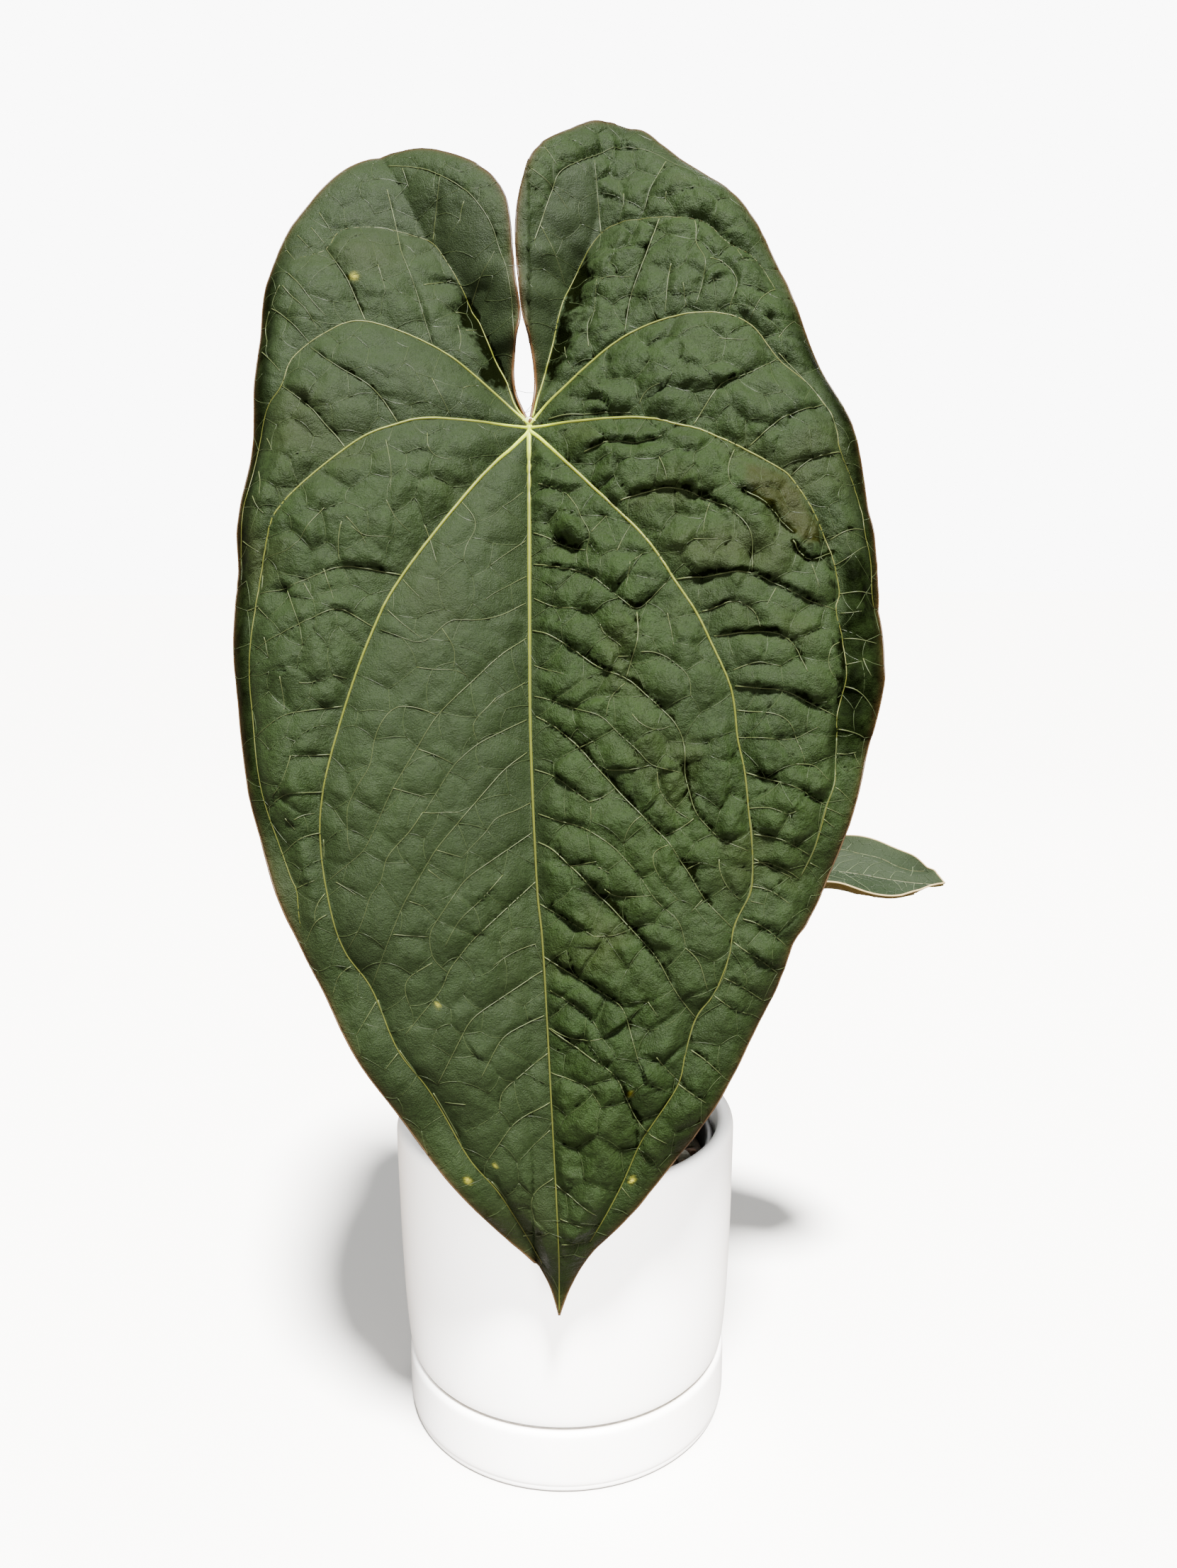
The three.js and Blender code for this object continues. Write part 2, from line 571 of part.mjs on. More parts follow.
const mainAcross = new THREE.Vector3(1, 0, 0);
const mainUp = new THREE.Vector3(0, Math.sin(mainLean), Math.cos(mainLean));
const mainNormal = new THREE.Vector3().crossVectors(mainAcross, mainUp);
const mainCopy = { scale: 1, blunt: 0, mirrored: false };
addPiece('leaf_main', makeBlade(mainCopy, mainSteps, bladeThickness, mainForm, junctionMain,
  mainAcross, mainUp), 0x27401f, 0.42);
const mainBend = junctionMain.clone().addScaledVector(mainNormal, -9);
const mainJoin = junctionMain.clone().addScaledVector(mainNormal, -3.4);
addPiece('petiole_main', makeStalk([
  [stemCentre[0] - 3, stemCentre[1] - 2.6, stemTop + 2 * fitGap], [-1, 7.4, 140], [-4, 8, 170],
  [-7, 7, 240], [-9, 3, 310], [-10.4, -6, 350], mainBend.toArray(), mainJoin.toArray(),
], [4.2, petioleRadius + 0.4, petioleRadius, petioleRadius, petioleRadius - 0.2,
  petioleRadius + 0.6, petioleRadius + 0.8], 28, 10), 0x4c6b2c, 0.5);

const secondUp = new THREE.Vector3(-122.5, 34, -3.5).normalize();
const secondAcross = new THREE.Vector3().crossVectors(secondUp, new THREE.Vector3(0, -0.05, 1));
secondAcross.normalize();
const secondNormal = new THREE.Vector3().crossVectors(secondAcross, secondUp);
const secondCopy = { scale: secondBladeScale, blunt: 4, mirrored: true };
addPiece('leaf_second', makeBlade(secondCopy, secondSteps, secondBladeThickness, secondForm,
  junctionSecond, secondAcross, secondUp), 0x4d6247, 0.45);
const secondBend = junctionSecond.clone().addScaledVector(secondNormal, -14);
const secondJoin = junctionSecond.clone().addScaledVector(secondNormal, -3);
addPiece('petiole_second', makeStalk([
  [stemCentre[0] + 3.4, stemCentre[1] + 3, stemTop + 2 * fitGap], [5.5, 13.2, 138], [11, 24, 155],
  [22, 45, 175], secondBend.toArray(), secondJoin.toArray(),
], [3.2, 2.5, 2.1, 2, 2.2, 2.5], 16, 8), 0x4c6b2c, 0.5);

export default group;
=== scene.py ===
# A potted anthurium hybrid in a white ceramic cylinder: the looks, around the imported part.
import math
import bpy
import numpy as np
from mathutils import Matrix, Vector


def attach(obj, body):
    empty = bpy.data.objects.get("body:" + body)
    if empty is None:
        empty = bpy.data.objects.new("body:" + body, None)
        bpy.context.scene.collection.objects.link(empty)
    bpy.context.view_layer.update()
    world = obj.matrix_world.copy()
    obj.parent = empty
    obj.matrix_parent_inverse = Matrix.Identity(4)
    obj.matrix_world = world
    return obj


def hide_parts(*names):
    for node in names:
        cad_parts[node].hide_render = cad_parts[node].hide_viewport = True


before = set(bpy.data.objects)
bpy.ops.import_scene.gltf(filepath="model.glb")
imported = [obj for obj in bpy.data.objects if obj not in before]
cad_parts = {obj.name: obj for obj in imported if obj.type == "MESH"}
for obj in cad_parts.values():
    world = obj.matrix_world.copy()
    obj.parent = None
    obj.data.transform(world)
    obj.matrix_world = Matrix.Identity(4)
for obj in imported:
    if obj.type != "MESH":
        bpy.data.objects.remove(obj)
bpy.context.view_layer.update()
mm = 0.001
weldSteps = 2000  # points join where they round to the same 2000th of a millimetre
print("stage: frame loaded")


# Meshes
def weld(points, faces):
    # Points that round to the same place become one, and faces that lose a corner by it go
    keys = np.round(points * weldSteps).astype(np.int64)
    _, first, back = np.unique(keys, axis=0, return_index=True, return_inverse=True)
    faces = back.reshape(-1)[faces]
    a, b, c = faces.T
    return first, faces[(a != b) & (b != c) & (c != a)]


def addPiece(name, points, faces, slotName, material, marks=None, node=None, smooth=True):
    # A piece from points in millimetres and triangles, turned right way out where its volume, the
    # sum of a . (b x c) over its triangles, is negative. A mark is a number kept at each point.
    a, b, c = (points[faces[:, k]] for k in range(3))
    if np.einsum("ij,ij->i", a, np.cross(b, c)).sum() < 0:
        faces = faces[:, ::-1]
    mesh = bpy.data.meshes.new(name)
    mesh.vertices.add(len(points))
    mesh.vertices.foreach_set("co", (points * mm).astype(np.float32).ravel())
    mesh.loops.add(faces.size)
    mesh.loops.foreach_set("vertex_index", np.ascontiguousarray(faces, dtype=np.int32).ravel())
    mesh.polygons.add(len(faces))
    mesh.polygons.foreach_set("loop_start", np.arange(0, faces.size, 3, dtype=np.int32))
    mesh.polygons.foreach_set("use_smooth", np.full(len(faces), smooth))
    for mark, values in (marks or {}).items():
        layer = mesh.attributes.new(mark, "FLOAT", "POINT")
        layer.data.foreach_set("value", np.asarray(values, np.float32).ravel())
    mesh.update()
    mesh.validate()
    mesh.materials.append(material)
    piece = bpy.data.objects.new(name, mesh)
    bpy.context.scene.collection.objects.link(piece)
    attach(piece, "root")
    if node:
        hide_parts(node)
    print("piece", name, len(faces), "triangles")
    return piece


def gridFaces(rows, columns, start=0, closed=False):
    # Two triangles for each cell of a grid, whose last column meets the first if it is closed
    across = columns if closed else columns - 1
    i, j = np.meshgrid(np.arange(rows - 1), np.arange(across), indexing="ij")
    i, j = i.ravel(), j.ravel()
    k = (j + 1) % columns
    a, b = start + i * columns + j, start + i * columns + k
    c, d = a + columns, b + columns
    return np.concatenate([np.stack([a, b, d], 1), np.stack([a, d, c], 1)])


def tubeFaces(rings, sides):
    # The wall of a tube and a fan at either end: its first point closes the first ring, and its
    # last point the last ring
    k = np.arange(sides)
    last = 1 + (rings - 1) * sides
    foot = np.stack([np.zeros(sides, int), 1 + (k + 1) % sides, 1 + k], 1)
    top = np.stack([np.full(sides, last + sides), last + k, last + (k + 1) % sides], 1)
    return np.concatenate([gridFaces(rings, sides, 1, closed=True), foot, top])


def tubeMark(values, sides):
    # A value for each ring of a tube as a mark for all its points, 0 and 1 at the ends
    return np.concatenate([[0], np.repeat(values, sides), [1]])


def cords(paths, radii, sides, flat=1.0):
    # Many tubes at once: each ring is radius * (cos * across + flat * sin * above) round the path,
    # where across is level and above is square to it. Paths are (tubes, steps, 3).
    paths = np.asarray(paths, float)
    tubes, steps, _ = paths.shape
    ahead = np.gradient(paths, axis=1)
    ahead /= np.linalg.norm(ahead, axis=2, keepdims=True) + 1e-12
    across = np.cross(ahead, np.array([0, 0, 1.0]))
    across /= np.linalg.norm(across, axis=2, keepdims=True) + 1e-12
    above = np.cross(across, ahead)
    angle = 2 * np.pi * (np.arange(sides) + 0.5) / sides
    radius = np.broadcast_to(radii, (tubes, steps))[..., None, None]
    ring = paths[:, :, None] + radius * (
        np.cos(angle)[:, None] * across[:, :, None] + flat * np.sin(angle)[:, None] * above[:, :, None])
    body = np.concatenate([paths[:, :1], ring.reshape(tubes, steps * sides, 3), paths[:, -1:]], axis=1)
    start = (steps * sides + 2) * np.arange(tubes)
    faces = (tubeFaces(steps, sides)[None] + start[:, None, None]).reshape(-1, 3)
    return body.reshape(-1, 3), faces


def joinParts(parts):
    # Several (points, faces) as one
    points, faces, start = [], [], 0
    for p, f in parts:
        points.append(p)
        faces.append(f + start)
        start += len(p)
    return np.concatenate(points), np.concatenate(faces)


def turned(profile, sides):
    # A lathe shape: twice over, the profile's corners are cut at a quarter and three quarters of
    # each stretch, then each [radius, height] goes round the upright axis
    p = np.asarray(profile, float)
    for _ in range(2):
        cut = np.stack([0.75 * p[:-1] + 0.25 * p[1:], 0.25 * p[:-1] + 0.75 * p[1:]], 1).reshape(-1, 2)
        if np.allclose(p[0], p[-1]):
            p = np.vstack([cut, cut[:1]])
        else:
            p = np.vstack([p[:1], cut, p[-1:]])
    angle = 2 * np.pi * np.arange(sides) / sides
    ring = np.stack([np.cos(angle), np.sin(angle), np.zeros(sides)], 1)
    points = p[:, None, :1] * ring[None] + np.array([0, 0, 1.0]) * p[:, None, 1:]
    points = points.reshape(-1, 3)
    kept, faces = weld(points, gridFaces(len(p), sides, closed=True))
    return points[kept], faces


# Lines and fields in a plane
def evenly(line, step):
    # Points at even lengths along a line of straight pieces, about a step apart
    run = np.concatenate([[0], np.cumsum(np.linalg.norm(np.diff(line, axis=0), axis=1))])
    at = np.linspace(0, run[-1], max(3, int(round(run[-1] / step)) + 1))
    return np.stack([np.interp(at, run, line[:, k]) for k in range(line.shape[1])], axis=1)


def smoothRun(points, step):
    # A curve through given points, each stretch a cubic with half the chord between the
    # neighbours as its slope at either end, cut evenly
    p = np.asarray(points, float)
    q = np.vstack([p[:1], p, p[-1:]])
    t = np.linspace(0, 1, 13)[:-1][None, :, None]
    n = len(p) - 1
    a, b, c, d = (q[k:k + n, None] for k in range(4))
    curve = 0.5 * (2 * b + (c - a) * t + (2 * a - 5 * b + 4 * c - d) * t ** 2
                   + (3 * b - 3 * c + d - a) * t ** 3)
    return evenly(np.vstack([curve.reshape(-1, p.shape[1]), p[-1:]]), step)


def kinkedRun(points, step):
    # Straight pieces between given points, cut evenly; each point then becomes half itself
    # and a quarter of each neighbour
    q = evenly(np.asarray(points, float), step)
    q[1:-1] = 0.25 * q[:-2] + 0.5 * q[1:-1] + 0.25 * q[2:]
    return q


def straightPieces(runs):
    # Where each straight piece of several runs starts and ends
    return np.vstack([run[:-1] for run in runs]), np.vstack([run[1:] for run in runs])


def nearest(x, y, runs):
    # The distance to the closest straight piece of any run: the length of point - start - t * piece,
    # where t, the share along the piece, is kept between 0 and 1
    starts, ends = (p.astype(np.float32) for p in straightPieces(runs))
    sx, sy = starts.T
    dx, dy = (ends - starts).T
    squared = dx * dx + dy * dy + 1e-9
    x, y = x.ravel().astype(np.float32), y.ravel().astype(np.float32)
    out = np.zeros(len(x))
    chunk = max(64, int(1.5e6 / len(sx)))
    for first in range(0, len(x), chunk):
        px = x[first:first + chunk, None] - sx
        py = y[first:first + chunk, None] - sy
        t = np.clip((px * dx + py * dy) / squared, 0, 1)
        gx, gy = px - t * dx, py - t * dy
        out[first:first + chunk] = np.sqrt((gx * gx + gy * gy).min(1))
    return out


def shareInside(x, y, loop, soft):
    # 1 inside the loop and 0 outside, eased over the distance soft either way. A point is inside
    # where an odd number of the loop's sides lie to its right.
    a, b = loop, np.roll(loop, -1, axis=0)
    crossing = (a[:, 1] > y[:, None]) != (b[:, 1] > y[:, None])
    at = a[:, 0] + (y[:, None] - a[:, 1]) * (b[:, 0] - a[:, 0]) / (b[:, 1] - a[:, 1] + 1e-9)
    odd = (crossing & (at > x[:, None])).sum(1) % 2 == 1
    gap = nearest(x, y, [np.vstack([loop, loop[:1]])])
    return easeStep(-soft, soft, np.where(odd, gap, -gap))


def easeStep(low, high, value):
    # 0 at low, 1 at high, and t * t * (3 - 2 * t) between
    t = np.clip((value - low) / (high - low), 0, 1)
    return t * t * (3 - 2 * t)


def cloud(x, y, pitch, seed):
    # Smooth random heights from -1 to 1: a random lattice of that pitch, eased across each cell
    table = np.random.default_rng(seed).uniform(-1, 1, (64, 64))
    u, v = x / pitch + 400.37, y / pitch + 400.71
    i, j = np.floor(u).astype(int), np.floor(v).astype(int)
    s, t = u - i, v - j
    s, t = s * s * (3 - 2 * s), t * t * (3 - 2 * t)
    i, j = i % 63, j % 63
    low = table[i, j] * (1 - s) + table[i + 1, j] * s
    high = table[i, j + 1] * (1 - s) + table[i + 1, j + 1] * s
    return low * (1 - t) + high * t


def creaseField(x, y, folds, form, endStrength=0.45, longReach=None):
    # How far the blade dips there, 0 to 1, and how much painted shade its colour takes: each straight
    # piece of a crease dips by strength * exp(-distance / reach), with a short reach on the side that
    # falls into it and a long one on the other, and the deepest counts. The foot of painted shade, the
    # crease's shadow put into the colour, is on the short side alone, and is strength * (1 - distance /
    # width). Clouds vary both, so that the foot's edge is ragged, and toward both its ends a crease
    # fades to endStrength.
    def spread(key):
        # A crease's value of that key, for each of its straight pieces
        return np.concatenate([np.full(len(fold["run"]) - 1, fold[key], np.float32) for fold in folds])

    starts, ends = (p.astype(np.float32) for p in straightPieces([fold["run"] for fold in folds]))
    taper = 0.25 if endStrength == 0 else 0.15
    strengths = []
    for fold in folds:
        share = np.linspace(0, 1, len(fold["run"]))
        strengths.append(endStrength + (1 - endStrength) * easeStep(0, taper, np.minimum(share, 1 - share)))
    startShare = np.concatenate([s[:-1] for s in strengths]).astype(np.float32)
    shareGain = np.concatenate([np.diff(s) for s in strengths]).astype(np.float32)
    strength, shadeWide = spread("strength"), spread("shade")
    fallX, fallY = spread("fallX"), spread("fallY")
    steepReach = form["creaseSteep"] * np.maximum(strength, 0.3) ** 0.5
    gentleReach = (longReach or form["creaseGentle"]) * np.maximum(strength, 0.1) ** 0.5
    jag = (1.02 + 0.55 * cloud(x, y, 4.6, 15) + 0.45 * cloud(x, y, 2.3, 16)).astype(np.float32)
    sway = np.minimum(0.98 + 0.5 * cloud(x, y, 7.5, 17), 1.15).astype(np.float32)
    dip, shade = np.zeros(len(x)), np.zeros(len(x))
    x, y = x.astype(np.float32), y.astype(np.float32)
    chunk, farthest = 700, 35
    for first in range(0, len(x), chunk):
        part = slice(first, first + chunk)
        near = (np.minimum(starts[:, 1], ends[:, 1]) < y[part].max() + farthest) & (
            np.maximum(starts[:, 1], ends[:, 1]) > y[part].min() - farthest)
        if not near.any():
            continue
        dx, dy = (ends[near] - starts[near]).T
        px = x[part, None] - starts[near, 0]
        py = y[part, None] - starts[near, 1]
        t = np.clip((px * dx + py * dy) / (dx * dx + dy * dy + 1e-9), 0, 1)
        gx, gy = px - t * dx, py - t * dy
        d = np.sqrt(gx * gx + gy * gy)
        fall = 0.5 + 0.5 * np.tanh(2.2 * (gx * fallX[near] + gy * fallY[near]) / (d + 1e-6))
        strong = strength[near] * (startShare[near] + t * shareGain[near]) * sway[part, None]
        steep = strong * np.exp(-d / ((fall + 0.03) * steepReach[near] * jag[part, None]))
        gentle = strong * np.exp(-d / ((1.03 - fall) * gentleReach[near]))
        dip[part] = np.maximum(steep, gentle).max(1)
        shade[part] = (strong * (1 - d / ((fall + 0.06) * shadeWide[near] * jag[part, None]))).max(1)
    return dip, np.maximum(shade, 0)


# Materials
def tone(r, g, b):
    # A screen colour, 0 to 255, as the linear colour that shaders take
    c = np.array([r, g, b]) / 255
    return (*np.where(c <= 0.04045, c / 12.92, ((c + 0.055) / 1.055) ** 2.4), 1.0)


class Finish:
    # A material and short ways to add nodes to it
    def __init__(self, name, colour, roughness, **sockets):
        # Starts with one colour, one roughness and other sockets by name, with _ for a space
        self.material = bpy.data.materials.new(name)
        self.material.use_nodes = True
        self.nodes = self.material.node_tree.nodes
        self.links = self.material.node_tree.links
        self.shader = self.nodes["Principled BSDF"]
        self.shader.inputs["Base Color"].default_value = colour
        self.shader.inputs["Roughness"].default_value = roughness
        for socket, value in sockets.items():
            self.shader.inputs[socket.replace("_", " ")].default_value = value
        self.place = self.nodes.new("ShaderNodeTexCoord").outputs["Object"]

    def put(self, kind, inputs=(), **values):
        # A node of that kind; an input is a number or another node's output
        node = self.nodes.new(kind)
        for key, value in values.items():
            setattr(node, key, value)
        for socket, source in dict(inputs).items():
            if hasattr(source, "is_output"):
                self.links.new(source, node.inputs[socket])
            else:
                node.inputs[socket].default_value = source
        return node

    def noise(self, scale, detail=3.0, rough=0.55, place=None):
        # Smooth noise of scale waves to the metre, with detail finer octaves
        return self.put("ShaderNodeTexNoise", {"Vector": place or self.place, "Scale": scale,
                                               "Detail": detail, "Roughness": rough}).outputs[0]

    def vector(self, a, b, how):
        # Two vectors joined by that operation
        return self.put("ShaderNodeVectorMath", {0: a, 1: b}, operation=how).outputs[0]

    def facets(self, scale, tilt):
        # The height of flat facets: in each random cell, the way from its middle along the cell's
        # own random direction, times the tilt
        sway = self.put("ShaderNodeTexNoise", {"Vector": self.place, "Scale": scale * 1.3, "Detail": 2.0})
        bent = self.vector(sway.outputs[1], (0.4 / scale,) * 3, "MULTIPLY")
        where = self.vector(self.place, bent, "ADD")
        cell = self.put("ShaderNodeTexVoronoi", {"Vector": where, "Scale": scale})
        away = self.vector(where, cell.outputs["Position"], "SUBTRACT")
        lean = self.vector(cell.outputs["Color"], (0.5, 0.5, 0.5), "SUBTRACT")
        height = self.put("ShaderNodeVectorMath", {0: away, 1: lean}, operation="DOT_PRODUCT")
        return self.times(height.outputs["Value"], tilt)

    def mark(self, name):
        # The mark of that name on the mesh
        return self.put("ShaderNodeAttribute", attribute_name=name).outputs["Fac"]

    def between(self, source, low, high, toLow=0.0, toHigh=1.0):
        # Low becomes toLow and high toHigh, with an even change between
        return self.put("ShaderNodeMapRange", {0: source, 1: low, 2: high, 3: toLow, 4: toHigh}).outputs[0]

    def plus(self, a, b):
        # a + b
        return self.put("ShaderNodeMath", {0: a, 1: b}, operation="ADD").outputs[0]

    def times(self, a, b):
        # a * b
        return self.put("ShaderNodeMath", {0: a, 1: b}, operation="MULTIPLY").outputs[0]

    def mix(self, factor, a, b):
        # The colour a * (1 - factor) + b * factor
        return self.put("ShaderNodeMix", {0: factor, 6: a, 7: b}, data_type="RGBA").outputs[2]

    def drive(self, socket, source):
        # A socket of the shader follows a node's output
        self.links.new(source, self.shader.inputs[socket])

    def bump(self, height, strength, depth, under=None):
        # The surface tilted by the slope of a height, over another bump if one lies under it
        node = self.put("ShaderNodeBump", {"Height": height, "Strength": strength, "Distance": depth})
        if under:
            self.links.new(under, node.inputs["Normal"])
        return node.outputs[0]


# In the glaze's look the seam tone is painted shade for the gap where the pot sits in the saucer; in the
# liner's look the same key is real dust
glazeLook = {"white": tone(248, 247, 246), "warm": tone(243, 240, 236), "dustAndSeamShade": tone(150, 138, 122)}
linerLook = {"black": tone(24, 25, 26), "dustAndSeamShade": tone(62, 58, 52)}


def glazeFinish(look):
    # White glaze: white mixed with warm by a slow noise, a line of painted shade in the seam where the
    # pot meets the saucer, and a bump of fine noise over the pinholes, which are where the distance to a
    # scattered point is small
    f = Finish("whiteGlaze", tone(244, 242, 239), 0.36, Specular_IOR_Level=0.45, Coat_Weight=0.12,
               Coat_Roughness=0.3)
    white = f.mix(f.between(f.noise(14, 2), 0.35, 0.7), look["white"], look["warm"])
    # Painted shade: the seam mark darkens the glaze along the gap between pot and saucer
    f.drive("Base Color", f.mix(f.mark("seamShade"), white, look["dustAndSeamShade"]))
    f.drive("Roughness", f.between(f.noise(60, 3), 0.3, 0.7, 0.32, 0.42))
    peel = f.bump(f.noise(260, 2), 0.12, 0.0004)
    pits = f.put("ShaderNodeTexVoronoi", {"Vector": f.place, "Scale": 95.0}).outputs["Distance"]
    f.drive("Normal", f.bump(f.between(pits, 0.0, 0.06), 0.25, 0.0003, peel))
    return f.material


def linerFinish(look):
    # Black plastic: black mixed with dust by a patchy noise, its gloss broken by a finer one
    f = Finish("blackLiner", tone(26, 27, 28), 0.45)
    f.drive("Base Color", f.mix(f.between(f.noise(90, 5, 0.7), 0.5, 0.75), look["black"], look["dustAndSeamShade"]))
    f.drive("Roughness", f.between(f.noise(140, 3), 0.3, 0.7, 0.38, 0.6))
    f.drive("Normal", f.bump(f.noise(900, 2), 0.1, 0.0002))
    return f.material


def bladeFinish(name, look):
    # Leaf: greens mixed by slow and fast noise, a pale grain, then painted shade in the creases and on
    # the hem, a dry patch, flecks and the edge by the marks on the mesh, and a paler lower face
    f = Finish(name, look["deep"], 0.45, Specular_IOR_Level=look["specular"])
    slow = f.between(f.noise(28, 3, 0.5), 0.32, 0.68)
    fast = f.between(f.noise(210, 4, 0.6), 0.3, 0.7)
    grain = f.noise(2300, 2, 0.6)
    green = f.mix(slow, look["deep"], look["mid"])
    green = f.mix(f.times(fast, 0.35), green, look["fresh"])
    warm = f.between(f.noise(17, 2), 0.56, 0.7, 0.0, 0.45)
    green = f.mix(warm, green, look["warm"])
    green = f.mix(f.mark("smooth"), green, look["cool"])
    green = f.mix(f.between(grain, 0.35, 0.7, 0.0, 0.36), green, look["pale"])
    # Painted shade: the hem and the creases, by their marks, are mixed toward near-black tones
    patchy = f.between(f.noise(150, 4, 0.6), 0.38, 0.62, 1.0, 0.6)
    green = f.mix(f.times(f.mark("hem"), patchy), green, look["hem"])
    ragged = f.between(f.noise(300, 3, 0.55), 0.3, 0.7, -0.35, 0.35)
    shade = f.between(f.plus(f.mark("crease"), ragged), 0.35, 0.75, 0.0, 0.95)
    green = f.mix(shade, green, look["paintedShade"])
    for mark in ("dry", "fleck", "edge"):
        green = f.mix(f.mark(mark), green, look[mark])
    below = f.mix(fast, look["belowDeep"], look["belowPale"])
    f.drive("Base Color", f.mix(f.mark("below"), green, below))
    satin = f.between(f.noise(420, 3), 0.3, 0.7, look["roughLow"], look["roughHigh"])
    dull = f.plus(f.times(f.mark("below"), 0.15), f.times(shade, 0.35))
    f.drive("Roughness", f.plus(satin, dull))
    shadeGloss = f.between(shade, 0.0, 0.95, look["specular"], 0.0)
    hemGloss = f.between(f.mark("hem"), 0.0, 1.0, 1.0, 0.1)
    f.drive("Specular IOR Level", f.times(shadeGloss, hemGloss))
    rough = f.between(f.mark("smooth"), 0.0, 0.9, look["wrinkle"], look["wrinkle"] * 0.3)
    fine = f.bump(f.facets(300, 0.42), rough, 1.0)
    wrinkle = f.bump(f.noise(430, 4, 0.6), rough, 0.0012, fine)
    f.drive("Normal", f.bump(grain, look["grain"], 0.0004, wrinkle))
    return f.material


def veinFinish(name, near, far, crest, junction=None):
    # Veins: the junction's tone at their start, then near mixed with far along them and by fine
    # streaks, and a paler crest
    f = Finish(name, near, 0.46, Specular_IOR_Level=0.12)
    streak = f.between(f.noise(520, 3), 0.3, 0.7, 0.0, 0.35)
    body = f.mix(f.between(f.mark("outward"), 0.05, 0.5), near, far)
    body = f.mix(f.between(f.mark("outward"), 0.0, 0.06), junction or near, body)
    body = f.mix(streak, body, far)
    f.drive("Base Color", f.mix(f.between(f.mark("crest"), 0.2, 1.0, 0.0, 0.6), body, crest))
    f.drive("Roughness", f.between(f.noise(300, 2), 0.3, 0.7, 0.36, 0.52))
    f.drive("Normal", f.bump(f.noise(1500, 2), 0.15, 0.0002))
    return f.material


def plainFinish(name, low, high, scale, rough, bump, depth):
    # Two tones mixed by noise, with a finer noise as relief
    f = Finish(name, low, rough)
    f.drive("Base Color", f.mix(f.between(f.noise(scale, 5, 0.65), 0.3, 0.72), low, high))
    f.drive("Roughness", f.between(f.noise(scale * 2, 3), 0.3, 0.7, rough - 0.1, min(1.0, rough + 0.08)))
    f.drive("Normal", f.bump(f.noise(scale * 3, 5, 0.7), bump, depth))
    return f.material


# The blade's outline and veins, in its own plane: x to the right, y up from the junction, mm
sinusLeft = [[0, 1], [-4.5, 12], [-5.5, 20], [-4.7, 29], [-3, 38], [-4.5, 50], [-5.4, 60],
    [-6.2, 71], [-8, 81], [-12, 88.5], [-18, 95], [-27, 101.5], [-38, 106.5], [-50, 108]]
marginLeft = [[-50, 108], [-55, 107], [-60, 103.5], [-69.5, 92], [-78, 79.5], [-83, 69],
    [-87, 57], [-90, 45], [-91, 22], [-91, 0], [-94, -30], [-94.5, -45], [-93, -92], [-88.5, -119],
    [-84, -136], [-76, -158], [-57, -198], [-43, -221], [-29, -241], [-10, -265], [3, -280],
    [8, -294]]
sinusRight = [[0, 1], [2, 14], [1.2, 26], [-1.8, 38], [-3.2, 50], [-4, 60], [-4.2, 70],
    [-3, 82], [-0.5, 93], [3, 102], [9, 110.5], [15, 115], [22, 119], [31, 121.5]]
marginRight = [[31, 121.5], [36, 121.5], [41, 120], [47, 114], [59, 100.5], [70.5, 87],
    [80.5, 70.5], [86.5, 54], [91.5, 36.5], [99.5, 18.5], [106, 3], [110.5, -15], [112.5, -31],
    [113.5, -55], [112, -87], [108, -106], [101, -129], [92.5, -152], [86, -164], [81.5, -170],
    [76, -185], [67, -203], [58, -219.5], [48, -235], [34, -253], [18.5, -271], [12, -283],
    [8, -294]]
midrib = [[0, 1], [0, -60], [0.2, -105], [2, -152], [3.7, -171], [5.8, -215], [7.9, -266],
    [8, -293]]
